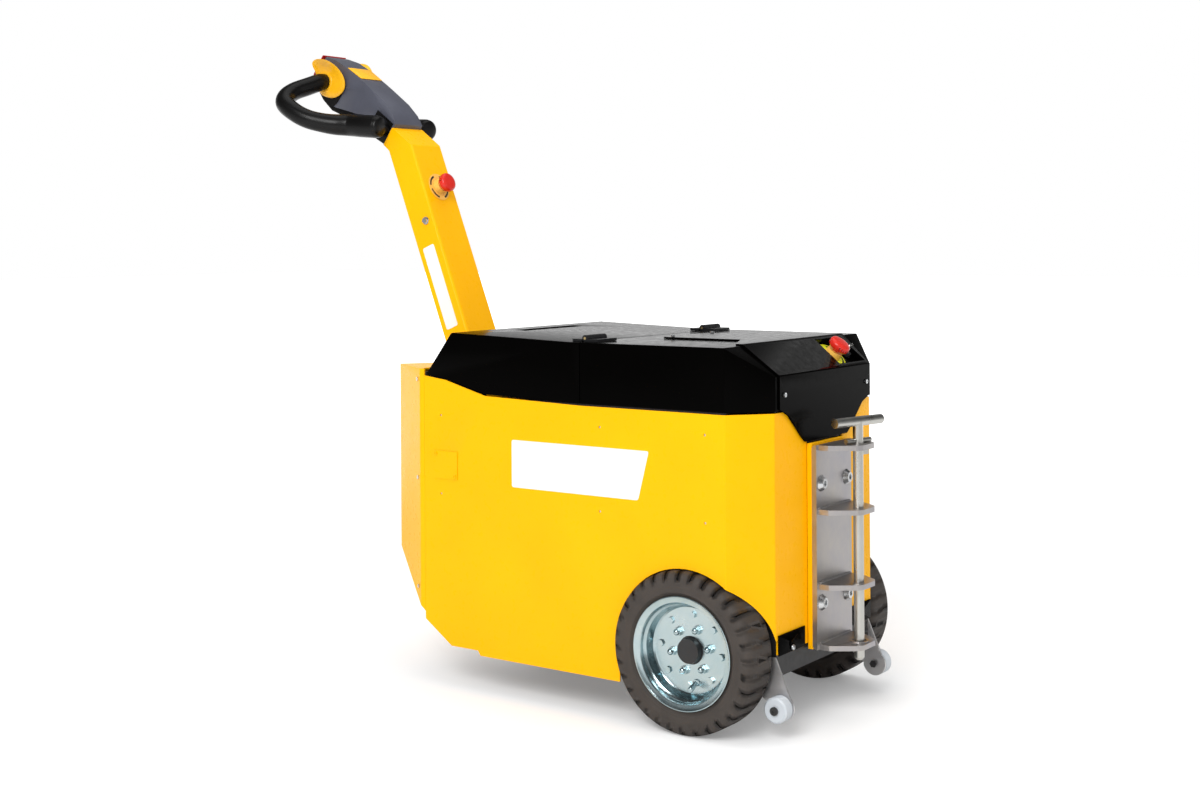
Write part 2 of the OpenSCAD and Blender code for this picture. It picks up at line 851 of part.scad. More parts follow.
module nose_screws() {
  top = deck_z + sheet_t + fit;
  face = cover_front_x + sheet_t + fit;
  color(steel) at_axle()
    for (s = [-1, 1]) {
      translate([-0.9 * tongue_x, s * 0.45 * tongue_w, top + fit])
        screw_head(small_head_r, 1.4 * small_r);
      rod_z(-0.9 * tongue_x, s * 0.45 * tongue_w, deck_z - 3 * sheet_t, top + fit, small_r);
      translate([face + fit, s * nose_screw_y, nose_screw_z])
        rotate([0, 90, 0])
          screw_head(small_head_r, 1.4 * small_r);
      rod_x(s * nose_screw_y, nose_screw_z, nose_x - 3 * sheet_t, face + fit, small_r);
    }
}

stop_hole_r = 0.55 * stop_r;
key_hole_r = 2.6 * sheet_t;
module control_tray() {
  color(black_paint) at_axle()
    nose_frame()
      difference() {
        translate([fit - tray_half, tray_y0 + fit, -tray_deep])
          cube([2 * tray_half - 2 * fit, tray_y1 - tray_y0 - 2 * fit,
            tray_deep + sheet_t]);
        translate([sheet_t / 2 - tray_half, tray_y0 + sheet_t / 2, -tray_deep + sheet_t])
          cube([2 * tray_half - sheet_t, tray_y1 - tray_y0 - sheet_t,
            tray_deep + over]);
        translate([0, stop_y, -tray_deep - over])
          cylinder(r = stop_hole_r + fit, h = 3 * over);
        translate([0, key_y, -tray_deep - over])
          cylinder(r = key_hole_r + fit, h = 3 * over);
      }
}

tray_floor = -tray_deep + sheet_t;
module stop_disc() {
  color(lemon) at_axle() {
    nose_frame()
      translate([0, stop_y, tray_floor + fit])
        difference() {
          cylinder(r = disc_r, h = sheet_t / 3);
          translate([0, 0, -over])
            cylinder(r = stop_hole_r + fit, h = 3 * over);
        }
  }
}

// Base of an emergency stop: threaded barrel below its seat and a collar above it.
module stop_base_shape(wall) {
  difference() {
    union() {
      translate([0, 0, -7 * sheet_t])
        cylinder(r = stop_hole_r, h = 8 * sheet_t);
      translate([0, 0, sheet_t / 3 + fit])
        cylinder(r1 = 0.8 * stop_r, r2 = 0.72 * stop_r, h = 0.55 * stop_r);
      translate([0, 0, -wall - 3 * fit - sheet_t])
        cylinder(r = 1.3 * stop_hole_r, h = sheet_t, $fn = hex_count);
    }
    translate([0, 0, -3 * sheet_t])
      cylinder(r = 0.3 * stop_r + play, h = 3 * stop_r);
  }
}

module stop_head_shape() {
  rotate_extrude()
    polygon([
      [0, sheet_t - stop_travel],
      [0.3 * stop_r, sheet_t - stop_travel],
      [0.3 * stop_r, 0.6 * stop_r + sheet_t / 3 + stop_travel],
      [0.82 * stop_r, 0.6 * stop_r + sheet_t / 3 + stop_travel],
      [0.95 * stop_r, 0.7 * stop_r + stop_travel],
      [stop_r, 0.85 * stop_r + stop_travel],
      [stop_r, 1.1 * stop_r + stop_travel],
      [0.93 * stop_r, 1.25 * stop_r + stop_travel],
      [0.75 * stop_r, 1.35 * stop_r + stop_travel],
      [0, 1.42 * stop_r + stop_travel]
    ]);
}

module stop_base() {
  color(lemon) at_axle()
    nose_frame()
      translate([0, stop_y, tray_floor + fit])
        stop_base_shape(sheet_t);
}

module front_stop_head() {
  color(red) at_axle()
    nose_frame()
      translate([0, stop_y, tray_floor + fit])
        stop_head_shape();
}

module key_frame() {
  nose_frame()
    translate([0, key_y, tray_floor + fit])
      children();
}

core_r = 0.7 * key_hole_r;
module key_switch() {
  color(case_black) at_axle()
    key_frame()
      difference() {
        union() {
          cylinder(r1 = 1.4 * key_hole_r, r2 = 1.25 * key_hole_r, h = 2 * sheet_t);
          translate([0, 0, -8 * sheet_t])
            cylinder(r = key_hole_r, h = 9 * sheet_t);
        }
        translate([0, 0, -2 * sheet_t])
          cylinder(r = core_r + play, h = 6 * sheet_t);
      }
}

// Lock core with the key in it, its bow turned flat
module switch_key() {
  bow_z = 5.4 * sheet_t;
  color(steel) at_axle()
    key_frame() {
      translate([0, 0, -2 * sheet_t + fit])
        cylinder(r = core_r, h = 4.2 * sheet_t);
      translate([-0.3 * sheet_t, -0.4 * key_hole_r, sheet_t])
        cube([0.6 * sheet_t, 0.8 * key_hole_r, bow_z - sheet_t]);
      translate([-0.3 * sheet_t, 0, bow_z])
        rotate([0, 90, 0])
          difference() {
            cylinder(r = 1.1 * key_hole_r, h = 0.6 * sheet_t);
            translate([-0.5 * key_hole_r, 0, -over])
              cylinder(r = 0.25 * key_hole_r, h = 3 * over);
          }
    }
}

module rear_end_cover() {
  low_side = [
    [-end_x - over, end_low - over * (end_low - end_foot) / (end_x - tail_x)],
    [-end_x - over, end_z],
    [-tail_x, end_z],
    [-tail_x, end_foot]
  ];
  color(yellow) at_axle()
    difference() {
      union() {
        both_sides()
          intersection() {
            union() {
              linear_extrude(end_z)
                polygon(band(end_line, 0, -sheet_t));
              translate([0, 0, end_z - sheet_t])
                linear_extrude(sheet_t)
                  polygon([
                    end_line[1], end_line[2], end_line[3], end_line[4]
                  ]);
            }
            drawn(low_side, -half_w - over, half_w + over);
          }
        // Cross wall under the tiller's throat
        block(end_line[3][0] - sheet_t, end_line[3][0], -throat - sheet_t,
          throat + sheet_t, 0.95 * end_low, pivot_z - boss_r);
      }
      both_sides()
        for (z = end_screw_z)
          translate(end_screw_at(z))
            rotate(end_screw_turn)
              translate([0, 0, -over])
                cylinder(r = small_r + fit, h = 3 * over);
    }
}

end_screw_z = [0.3 * end_z, 0.65 * end_z, 0.965 * end_z];
end_turn = atan2(half_w - end_w / 2, end_x - tail_x - 4 * sheet_t);
end_screw_turn = [90, 0, -end_turn];
function end_screw_at(z) = [
  -tail_x - 4 * sheet_t - 0.08 * (end_x - tail_x),
  -half_w + 0.08 * (end_x - tail_x) * tan(end_turn),
  z
];

module end_cover_screws() {
  color(steel) at_axle()
    both_sides()
      for (z = end_screw_z)
        translate(end_screw_at(z))
          rotate(end_screw_turn) {
            translate([0, 0, fit])
              screw_head(small_head_r, small_r);
            translate([0, 0, -2 * sheet_t])
              cylinder(r = small_r, h = 2 * sheet_t + fit);
          }
}

// Tow hitch.

hitch_bolt_y = 0.36 * hitch_w;
hitch_bolt_z = [0.86 * flange_z2, 0.86 * flange_z4];
flange_tops = [flange_z1, flange_z2, flange_z3, flange_z4];

module tow_back_plate() {
  color(yellow) at_axle()
    difference() {
      block(back_x, back_x + plate_t, -hitch_w / 2, hitch_w / 2, flange_z1 - plate_t,
        flange_z4 + plate_t / 3);
      for (s = [-1, 1])
        for (z = hitch_bolt_z)
          rod_x(s * hitch_bolt_y, z, back_x - over, flange_x + over, big_r + fit);
    }
}

module outer_bend(z, way) {
  r = 0.9 * plate_t;
  difference() {
    block(hitch_x - over, hitch_x + r, -hitch_w, hitch_w, min(z + way * r, z - way * over),
      max(z + way * r, z - way * over));
    rod_y(hitch_x + r, z + way * r, -1.1 * hitch_w, 1.1 * hitch_w, r);
  }
}

module hitch_bracket() {
  reach = flange_x + flange_l;
  color(zinc) at_axle()
    difference() {
      union() {
        block(hitch_x, flange_x, -hitch_w / 2, hitch_w / 2, flange_z1 - plate_t,
          flange_z4);
        for (z = flange_tops)
          translate([0, 0, z - plate_t])
            linear_extrude(plate_t)
              polygon([
                [hitch_x, -0.46 * hitch_w],
                [flange_x + 0.3 * flange_l, -0.46 * hitch_w],
                [reach - 0.08 * flange_l, -0.24 * hitch_w],
                [reach, -0.16 * hitch_w],
                [reach, 0.16 * hitch_w],
                [reach - 0.08 * flange_l, 0.24 * hitch_w],
                [flange_x + 0.3 * flange_l, 0.46 * hitch_w],
                [hitch_x, 0.46 * hitch_w]
              ]);
        // Raised ring on the lowest flange
        rod_z(pin_x, 0, flange_z1, flange_z1 + plate_t / 4, 1.9 * pin_r);
      }
      // Rounded bends where the outer flanges turn away from the back
      outer_bend(flange_z4, -1);
      outer_bend(flange_z1 - plate_t, 1);
      rod_z(pin_x, 0, flange_z1 - plate_t - over, flange_z4 + over, pin_r + play);
      rod_z(pin_x, 0, flange_z1, flange_z1 + over, 1.5 * pin_r);
      // Keyway the pin's lug passes through
      translate([pin_x, 0, flange_z4 - plate_t - over])
        rotate([0, 0, -bar_turn])
          translate([-lug_w / 2 - fit, 0, 0])
            cube([lug_w + 2 * fit, lug_l + 2 * fit, plate_t + 2 * over]);
      for (s = [-1, 1])
        for (z = hitch_bolt_z)
          rod_x(s * hitch_bolt_y, z, back_x - over, flange_x + over, big_r + fit);
    }
}

lug_w = pin_r;
lug_l = 2.6 * pin_r;
cross_r = pin_r / 2;

module hitch_bolts() {
  color(bright_steel) at_axle()
    for (s = [-1, 1])
      for (z = hitch_bolt_z) {
        rod_x(s * hitch_bolt_y, z, rail_front - 2 * plate_thick - 2 * over,
          flange_x + fit, big_r);
        translate([flange_x + fit, s * hitch_bolt_y, z])
          rotate([0, 90, 0])
            difference() {
              cylinder(r1 = 1.75 * big_r, r2 = 1.1 * big_r, h = 0.9 * big_r);
              translate([0, 0, 0.4 * big_r])
                cylinder(r = 0.62 * big_r, h = big_r, $fn = hex_count);
            }
        translate([rail_front - 2 * plate_thick - fit - big_r, s * hitch_bolt_y, z])
          rotate([0, 90, 0])
            hex_head(1.6 * big_r, big_r);
      }
}

module tow_pin() {
  color(zinc) at_axle() {
    rod_z(pin_x, 0, pin_tip_z + pin_r / 2, bar_z, pin_r);
    translate([pin_x, 0, pin_tip_z])
      cylinder(r1 = 0.6 * pin_r, r2 = pin_r, h = pin_r / 2);
    translate([pin_x, 0, bar_z])
      rotate([0, 0, -bar_turn]) {
        rod_y(0, 0, -bar_l / 2, bar_l / 2, 0.95 * pin_r);
        rod_y(0, flange_z4 + fit + cross_r - bar_z, -0.26 * bar_l, 0.26 * bar_l, cross_r);
        translate([-lug_w / 2, 0, flange_z4 - 2.2 * plate_t - bar_z])
          cube([lug_w, lug_l, lug_w]);
      }
  }
}

// Stabiliser rollers.

arm_in = rail_out + fit;
arm_out = arm_in + 1.4 * sheet_t;
module stabiliser_arms() {
  color(zinc) at_axle()
    both_sides()
      difference() {
        union() {
          drawn([
            [0.4 * nose_x, 0.75 * wheel_r],
            [roller_x - roller_r, roller_z],
            [roller_x + roller_r, roller_z],
            [nose_x - sheet_t, 0.97 * wheel_r],
            [0.4 * nose_x, 0.97 * wheel_r]
          ], arm_in, arm_out);
          rod_y(roller_x, roller_z, arm_in, arm_out, roller_r);
        }
        for (x = arm_bolt_x)
          rod_y(x, arm_bolt_z, rail_in, arm_out + over, 2 * small_r + fit);
        rod_y(roller_x, roller_z, rail_in, arm_out + over, 2 * small_r + fit);
      }
}

module roller_bolts() {
  color(dark_grey) at_axle()
    both_sides() {
      for (x = arm_bolt_x) {
        rod_y(x, arm_bolt_z, rail_in - 2 * sheet_t, arm_out + fit, 2 * small_r);
        translate([x, arm_out + fit, arm_bolt_z])
          rotate([-90, 0, 0])
            hex_head(3.4 * small_r, small_r);
      }
      rod_y(roller_x, roller_z, arm_in - sheet_t, arm_out + roller_w + sheet_t,
        2 * small_r);
      translate([roller_x, arm_in - sheet_t - fit, roller_z])
        rotate([90, 0, 0])
          hex_head(3.4 * small_r, sheet_t);
      translate([roller_x, arm_out + roller_w + sheet_t, roller_z])
        rotate([-90, 0, 0])
          screw_head(3.6 * small_r, 1.5 * small_r);
    }
}

module roller_shape() {
  difference() {
    translate([roller_x, arm_out + roller_w / 2 + sheet_t / 2, roller_z])
      rotate([90, 0, 0])
        rotate_extrude()
          polygon([
            [2 * small_r + play, -roller_w / 2],
            [0.86 * roller_r, -roller_w / 2],
            [roller_r, -0.38 * roller_w],
            [roller_r, 0.38 * roller_w],
            [0.86 * roller_r, roller_w / 2],
            [2 * small_r + play, roller_w / 2]
          ]);
  }
}

module far_roller() {
  color(zinc) at_axle()
    roller_shape();
}

module near_roller() {
  color(zinc) at_axle()
    mirror([0, 1, 0])
      roller_shape();
}

// Lid and hinges.

module rear_lid() {
  hollow = around(lid_side, sheet_t);
  color(black_paint) at_axle()
    difference() {
      drawn(lid_side, -half_w, half_w);
      drawn(hollow, -inner_y, inner_y);
      translate([0, 0, -2 * sheet_t])
        drawn(hollow, -inner_y, inner_y);
      translate([2 * sheet_t, 0, 0])
        drawn(hollow, -inner_y, inner_y);
      block(-0.93 * lid_x, -0.93 * lid_x + slot_l, -slot_w / 2, slot_w / 2, deck_z - over,
        deck_z + lid_rise + over);
    }
}

// One hinge leaf: a rounded pad on the cover and its share of the knuckle.
module leaf(dir, spans) {
  pad0 = 1.2 * hinge_r;
  pad1 = 4.6 * hinge_r;
  difference() {
    union() {
      for (s = spans)
        rod_y(-split_x, hinge_z, hinge_y - hinge_w / 2 + s[0] * hinge_w,
          hinge_y - hinge_w / 2 + s[1] * hinge_w, hinge_r);
      difference() {
        union() {
          translate([-split_x + dir * pad0 - (dir < 0 ? pad1 - pad0 : 0),
            hinge_y - hinge_w / 2, deck_z + fit])
            cube([pad1 - pad0, hinge_w, 0.8 * hinge_r]);
          for (s = spans)
            translate([dir < 0 ? -split_x - pad0 - over : -split_x,
              hinge_y - hinge_w / 2 + s[0] * hinge_w, deck_z + fit])
              cube([pad0 + over, (s[1] - s[0]) * hinge_w, 0.8 * hinge_r]);
        }
      }
    }
    rod_y(-split_x, hinge_z, 0, half_w, 0.4 * hinge_r + play);
  }
}

module cover_hinges() {
  color(cast_black) at_axle()
    both_sides()
      leaf(1, [[0, 0.3], [0.7, 1]]);
}

module lid_hinges() {
  color(cast_black) at_axle()
    both_sides()
      leaf(-1, [[0.31, 0.69]]);
}

module hinge_pins() {
  color(brass) at_axle()
    both_sides()
      rod_y(-split_x, hinge_z, hinge_y - 0.51 * hinge_w, hinge_y + 0.51 * hinge_w,
        0.4 * hinge_r);
}

// Castor.

swivel_r = 0.42 * castor_r;
king_r = 0.12 * castor_r;
race_z = castor_top - plate_thick - 0.22 * castor_r;
crown_z = race_z - fit - plate_thick;
fork_y = castor_w / 2 + sheet_t;

module castor_mount() {
  color(steel) at_axle() {
    difference() {
      block(-castor_x - 0.8 * castor_r, -castor_x + 0.8 * castor_r, -0.8 * castor_r,
        0.8 * castor_r, castor_top - plate_thick, castor_top);
      for (x = [-1, 1])
        for (y = [-1, 1])
          rod_z(x * deck_bolt - castor_x, y * deck_bolt, castor_top - 4 * over,
            castor_top + over, 2 * small_r - fit);
    }
    rod_z(-castor_x, 0, race_z, castor_top - plate_thick, swivel_r);
    rod_z(-castor_x, 0, crown_z - 0.3 * castor_r, race_z, king_r);
    translate([-castor_x, 0, crown_z - fit - 0.14 * castor_r])
      hex_head(2 * king_r, 0.14 * castor_r);
    for (x = [-1, 1])
      for (y = [-1, 1])
        translate([x * deck_bolt - castor_x, y * deck_bolt, 0]) {
          rod_z(0, 0, castor_top - plate_thick - fit - sheet_t,
            deck_low + plate_thick, 2 * small_r);
          translate([0, 0, castor_top - plate_thick - fit - sheet_t])
            hex_head(3.4 * small_r, sheet_t);
        }
  }
}

module castor_fork() {
  color(zinc) at_axle()
    difference() {
      union() {
        rod_z(-castor_x, 0, crown_z, crown_z + plate_thick, 0.96 * swivel_r);
        block(-castor_x - swivel_r, -castor_x + 0.6 * swivel_r, -fork_y - sheet_t,
          fork_y + sheet_t, crown_z, crown_z + plate_thick);
        both_sides() {
          drawn([
            [-castor_x - trail_x - 0.26 * castor_r, castor_r],
            [-castor_x - trail_x + 0.26 * castor_r, castor_r],
            [-castor_x + 0.6 * swivel_r, crown_z + plate_thick],
            [-castor_x - swivel_r, crown_z + plate_thick]
          ], fork_y, fork_y + 1.3 * sheet_t);
          rod_y(-castor_x - trail_x, castor_r, fork_y, fork_y + 1.3 * sheet_t,
            0.26 * castor_r);
        }
      }
      rod_z(-castor_x, 0, crown_z - over, crown_z + plate_thick + over, king_r + play);
      rod_y(-castor_x - trail_x, castor_r, -half_w, half_w, 2.2 * small_r + fit);
    }
}

module castor_wheel() {
  color(case_black) at_axle()
    translate([-castor_x - trail_x, 0, castor_r])
      rotate([90, 0, 0])
        rotate_extrude()
          polygon([
            [2.2 * small_r + play, -0.48 * castor_w],
            [0.3 * castor_r, -0.48 * castor_w],
            [0.34 * castor_r, -0.3 * castor_w],
            [0.66 * castor_r, -0.3 * castor_w],
            [0.7 * castor_r, -0.48 * castor_w],
            [0.9 * castor_r, -0.48 * castor_w],
            [castor_r, -0.3 * castor_w],
            [castor_r, 0.3 * castor_w],
            [0.9 * castor_r, 0.48 * castor_w],
            [0.7 * castor_r, 0.48 * castor_w],
            [0.66 * castor_r, 0.3 * castor_w],
            [0.34 * castor_r, 0.3 * castor_w],
            [0.3 * castor_r, 0.48 * castor_w],
            [2.2 * small_r + play, 0.48 * castor_w]
          ]);
}

module castor_axle() {
  out = fork_y + 1.3 * sheet_t + fit;
  color(steel) at_axle() {
    rod_y(-castor_x - trail_x, castor_r, -out, out, 2.2 * small_r);
    both_sides()
      translate([-castor_x - trail_x, out, castor_r])
        rotate([-90, 0, 0])
          hex_head(4 * small_r, 1.6 * sheet_t);
  }
}

// Drive wheels, turned about their own axis with the outer face up.

bead_r = 0.9 * rim_r;
disc_in = 0.25 * rim_r;
module tyre_shape() {
  half_t = tyre_w / 2;
  lip = rim_w / 2 - 1.4 * sheet_t;
  rotate_extrude()
    polygon([
      [bead_r + fit, -lip],
      [rim_r + fit, -lip],
      [rim_r + 1.6 * sheet_t, -0.92 * half_t],
      [0.84 * wheel_r, -half_t],
      [0.955 * wheel_r, -0.9 * half_t],
      [wheel_r, -0.66 * half_t],
      [wheel_r, 0.66 * half_t],
      [0.955 * wheel_r, 0.9 * half_t],
      [0.84 * wheel_r, half_t],
      [rim_r + 1.6 * sheet_t, 0.92 * half_t],
      [rim_r + fit, lip],
      [bead_r + fit, lip]
    ]);
}

module rim_shape() {
  half_r = rim_w / 2;
  dish = 2.2 * sheet_t;
  difference() {
    rotate_extrude()
      polygon([
        [disc_in, -dish / 2],
        [0.86 * bead_r, -dish / 2],
        [bead_r - 1.2 * sheet_t, -0.66 * half_r],
        [bead_r - 1.2 * sheet_t, -half_r],
        [rim_r, -half_r],
        [rim_r, sheet_t - half_r],
        [bead_r, sheet_t - half_r],
        [bead_r, half_r - sheet_t],
        [rim_r, half_r - sheet_t],
        [rim_r, half_r],
        [bead_r - 1.2 * sheet_t, half_r],
        [bead_r - 1.2 * sheet_t, 0.66 * half_r],
        [0.86 * bead_r, dish / 2],
        [disc_in, dish / 2]
      ]);
    for (a = [stud_turn : 60 : stud_turn + 300])
      rotate([0, 0, a])
        translate([stud_pcr, 0, -over])
          cylinder(r = 2 * small_r + fit, h = 3 * over);
    for (a = [bolt_turn : 45 : bolt_turn + 315])
      rotate([0, 0, a])
        translate([bolt_pcr, 0, -over])
          cylinder(r = 1.6 * small_r + fit, h = 3 * over);
  }
}

module nuts_shape() {
  dish = 1.1 * sheet_t;
  for (a = [stud_turn : 60 : stud_turn + 300])
    rotate([0, 0, a])
      translate([stud_pcr, 0, dish + fit]) {
        hex_head(3.9 * small_r, 3 * small_r);
        rotate_extrude()
          intersection() {
            translate([0, 3.2 * small_r])
              circle(r = 2.9 * small_r);
            square([3 * small_r, 7 * small_r]);
          }
      }
  for (a = [bolt_turn : 45 : bolt_turn + 315])
    rotate([0, 0, a])
      translate([bolt_pcr, 0, -dish]) {
        translate([0, 0, 2 * dish + fit])
          hex_head(3.1 * small_r, 2 * small_r);
        translate([0, 0, -fit - 2 * small_r])
          hex_head(3.1 * small_r, 2 * small_r);
        translate([0, 0, -fit])
          cylinder(r = 1.6 * small_r, h = 2 * dish + 2 * fit);
      }
}

// Hub, its studs, the dust cap and the drive shaft behind it.
module hub_shape() {
  dish = 1.1 * sheet_t;
  translate([0, 0, -0.16 * tyre_w - fit])
    cylinder(r = stud_pcr + 3 * sheet_t, h = 0.16 * tyre_w - dish);
  translate([0, 0, -dish - fit])
    cylinder(r = disc_in - fit, h = 2 * dish);
  translate([0, 0, -dish - fit])
    cylinder(r1 = 0.97 * disc_in, r2 = 0.86 * disc_in, h = 5.4 * dish);
  for (a = [stud_turn : 60 : stud_turn + 300])
    rotate([0, 0, a])
      translate([stud_pcr, 0, -dish - 2 * fit])
        cylinder(r = 2 * small_r, h = 2 * dish + 2 * fit);
  translate([0, 0, -wheel_y + 0.36 * rail_in])
    cylinder(r = shaft_r, h = wheel_y - 0.36 * rail_in);
}

module near_tyre() {
  color(tyre_grey) at_axle()
    near_wheel_frame()
      tyre_shape();
}

module near_rim() {
  color(bright_zinc) at_axle()
    near_wheel_frame()
      rim_shape();
}

module near_wheel_nuts() {
  color(bright_zinc) at_axle()
    near_wheel_frame()
      nuts_shape();
}

module near_hub() {
  color(frame_black) at_axle()
    near_wheel_frame()
      hub_shape();
}

module far_tyre() {
  color(tyre_grey) at_axle()
    mirror([0, 1, 0])
      near_wheel_frame()
        tyre_shape();
}

module far_rim() {
  color(bright_zinc) at_axle()
    mirror([0, 1, 0])
      near_wheel_frame()
        rim_shape();
}

module far_wheel_nuts() {
  color(bright_zinc) at_axle()
    mirror([0, 1, 0])
      near_wheel_frame()
        nuts_shape();
}

module far_hub() {
  color(frame_black) at_axle()
    mirror([0, 1, 0])
      near_wheel_frame()
        hub_shape();
}

// Tiller.

module pivot_shaft() {
  color(steel) at_axle() {
    rod_y(-pivot_x, pivot_z, -rail_out - sheet_t, rail_out + sheet_t, pivot_r);
    both_sides() {
      difference() {
        rod_y(-pivot_x, pivot_z, 0.64 * rail_in, rail_in - fit, 1.5 * pivot_r);
        rod_y(-pivot_x, pivot_z, 0, rail_in, 0.9 * pivot_r);
      }
      rod_y(-pivot_x, pivot_z, rail_out + fit, rail_out + sheet_t, 1.6 * pivot_r);
    }
  }
}

arm_side = [
  [arm_d / 2, 0],
  [arm_d / 2, arm_l],
  [cap_x, arm_l + arm_top],
  [cap_x - head_d * cos(head_tilt) * 0.93, arm_l + arm_top - head_d * sin(head_tilt) * 0.93],
  [-arm_d / 2, arm_l + 0.25 * arm_top],
  [-arm_d / 2, 0]
];

// The arm's outline seen along it, its two front edges folded round.
module arm_section() {
  back = -1.5 * arm_d;
  half = arm_w / 2;
  fold_r = 1.7 * sheet_t;
  translate([0, 0, -arm_d])
    linear_extrude(arm_l + 2 * arm_d) {
      translate([back, -half])
        square([arm_d / 2 - fold_r - back, arm_w]);
      translate([back, fold_r - half])
        square([arm_d / 2 - back, arm_w - 2 * fold_r]);
      for (s = [-1, 1])
        translate([arm_d / 2 - fold_r, s * (half - fold_r)])
          circle(r = fold_r);
    }
}

module tiller_arm() {
  cavity = around([for (p = arm_side) [p[0], max(p[1], 1.1 * boss_r)]], wall_t);
  color(yellow) at_axle()
    tiller_frame()
      difference() {
        union() {
          intersection() {
            drawn(arm_side, -arm_w / 2, arm_w / 2);
            arm_section();
          }
          rod_y(0, 0, -arm_w / 2, arm_w / 2, boss_r);
        }
        drawn(cavity, wall_t - arm_w / 2, arm_w / 2 - wall_t);
        rod_y(0, 0, -arm_w, arm_w, pivot_r + play);
        rod_y(0.35 * boss_r, bolt_arm_z, -arm_w, arm_w, 2 * small_r + fit);
        rod_x(0, stop_arm_z, 0, arm_d, stop_hole_r + fit);
      }
}

module arm_bolt() {
  color(bright_steel) at_axle()
    tiller_frame() {
      rod_y(0.35 * boss_r, bolt_arm_z, -arm_w / 2 - fit, arm_w / 2 + fit, 2 * small_r);
      both_sides()
        translate([0.35 * boss_r, arm_w / 2 + fit, bolt_arm_z])
          rotate([-90, 0, 0]) {
            cylinder(r = 4 * small_r, h = sheet_t / 2);
            hex_head(3.2 * small_r, 3 * small_r);
          }
    }
}

module arm_stop_base() {
  color(lemon) at_axle()
    tiller_frame()
      translate([arm_d / 2 + fit, 0, stop_arm_z])
        rotate([0, 90, 0]) {
          stop_base_shape(wall_t);
          difference() {
            cylinder(r = disc_r, h = sheet_t / 3);
            translate([0, 0, -over])
              cylinder(r = stop_hole_r, h = 3 * over);
          }
        }
}

module arm_stop_head() {
  color(red) at_axle()
    tiller_frame()
      translate([arm_d / 2 + fit, 0, stop_arm_z])
        rotate([0, 90, 0])
          stop_head_shape();
}

// Handle head, drawn with z along the head and x out of its top face.

head_end = head_l - 2.8 * sheet_t;
head_half = 0.375 * arm_w;
// Line along which the upper and lower halves of the head meet
parting = [
  [-0.3 * head_d, fit],
  [-0.3 * head_d, 0.17 * head_l],
  [-0.38 * head_d, 0.28 * head_l],
  [-0.8 * head_d, 0.41 * head_l],
  [-1.36 * head_d, 0.66 * head_l],
  [-0.95 * head_d, 0.76 * head_l],
  [-0.4 * head_d, 0.91 * head_l],
  [-0.4 * head_d, head_end]
];
head_upper_side = concat([
  [0.3 * head_d, head_end],
  [0.52 * head_d, 0.85 * head_l],
  [0.61 * head_d, 0.72 * head_l],
  [0.65 * head_d, 0.5 * head_l],
  [0.61 * head_d, 0.2 * head_l],
  [0.46 * head_d, 0.08 * head_l],
  [0.2 * head_d, fit]
], shifted(parting, -fit / 2));
head_lower_side = concat([
  [-0.88 * head_d, head_end],
  [-1.15 * head_d, 0.93 * head_l],
  [-1.46 * head_d, 0.79 * head_l],
  [-1.55 * head_d, 0.66 * head_l],
  [-1.18 * head_d, 0.4 * head_l],
  [-1.02 * head_d, 0.12 * head_l],
  [-0.93 * head_d, fit]
], shifted(parting, fit / 2));
head_plan = [
  [-0.45 * arm_w, 0],
  [0.45 * arm_w, 0],
  [0.44 * arm_w, 0.15 * head_l],
  [head_half, 0.45 * head_l],
  [head_half, 0.95 * head_l],
  [0.9 * head_half, head_l],
  [-0.9 * head_half, head_l],
  [-head_half, 0.95 * head_l],
  [-head_half, 0.45 * head_l],
  [-0.44 * arm_w, 0.15 * head_l]
];
// The head's section, with its two long sloping shoulders
head_section = [
  [-2 * head_d, -0.6 * arm_w],
  [0, -0.5 * arm_w],
  [0.72 * head_d, -0.37 * arm_w],
  [0.72 * head_d, 0.37 * arm_w],
  [0, 0.5 * arm_w],
  [-2 * head_d, 0.6 * arm_w]
];
sleeve_r = 1.18 * grip_r;
stem_r = 1.7 * sheet_t;
stem_x = 0.06 * head_d;
lever_in = head_half + sheet_t / 2;
lever_out = lever_in + 3 * sheet_t;
root_r = 1.24 * grip_r;
root_y = 0.61 * arm_w;

module head_shell(points) {
  difference() {
    intersection() {
      drawn(points, -arm_w, arm_w);
      fronted(head_plan, -2 * head_d, 2 * head_d);
      linear_extrude(head_l)
        polygon(head_section);
    }
    rod_y(bar_head_x, bar_head_z, -arm_w, arm_w, sleeve_r + fit);
    both_sides()
      loop_frame()
        tube_between(loop_low, loop_end, 0.97 * grip_r + fit);
    // Space for the reversing switch's stem
    translate([stem_x, 0, 0.86 * head_l])
      cylinder(r = stem_r + fit, h = head_l);
  }
}

// Thick roots beside the head that hold the lower ends of the grip loops.
module grip_roots(grow) {
  both_sides() {
    rod_z(-0.2 * head_d, root_y, 0.02 * head_l - grow, 0.22 * head_l + grow, root_r + grow);
    loop_frame()
      tube_between(loop_low, loop_low + socket_l * unit(loop_end - loop_low),
        1.2 * grip_r + grow);
  }
}

module head_upper() {
  color(slate) at_axle()
    head_frame()
      difference() {
        head_shell(head_upper_side);
        grip_roots(fit);
      }
}

// Runs its children in the plane of the far grip loop, x outward and y along the head.
module loop_frame() {
  translate([bar_head_x - elbow_r, lever_out + sheet_t, 0])
    rotate([0, 0, loop_droop])
      translate([elbow_r, 0, 0])
        rotate([90, 0, 90])
          children();
}

module head_lower() {
  color(soft_black) at_axle()
    head_frame() {
      head_shell(head_lower_side);
      difference() {
        grip_roots(0);
        both_sides()
          loop_frame()
            tube_between(loop_low, loop_end, 0.97 * grip_r + fit);
      }
    }
}

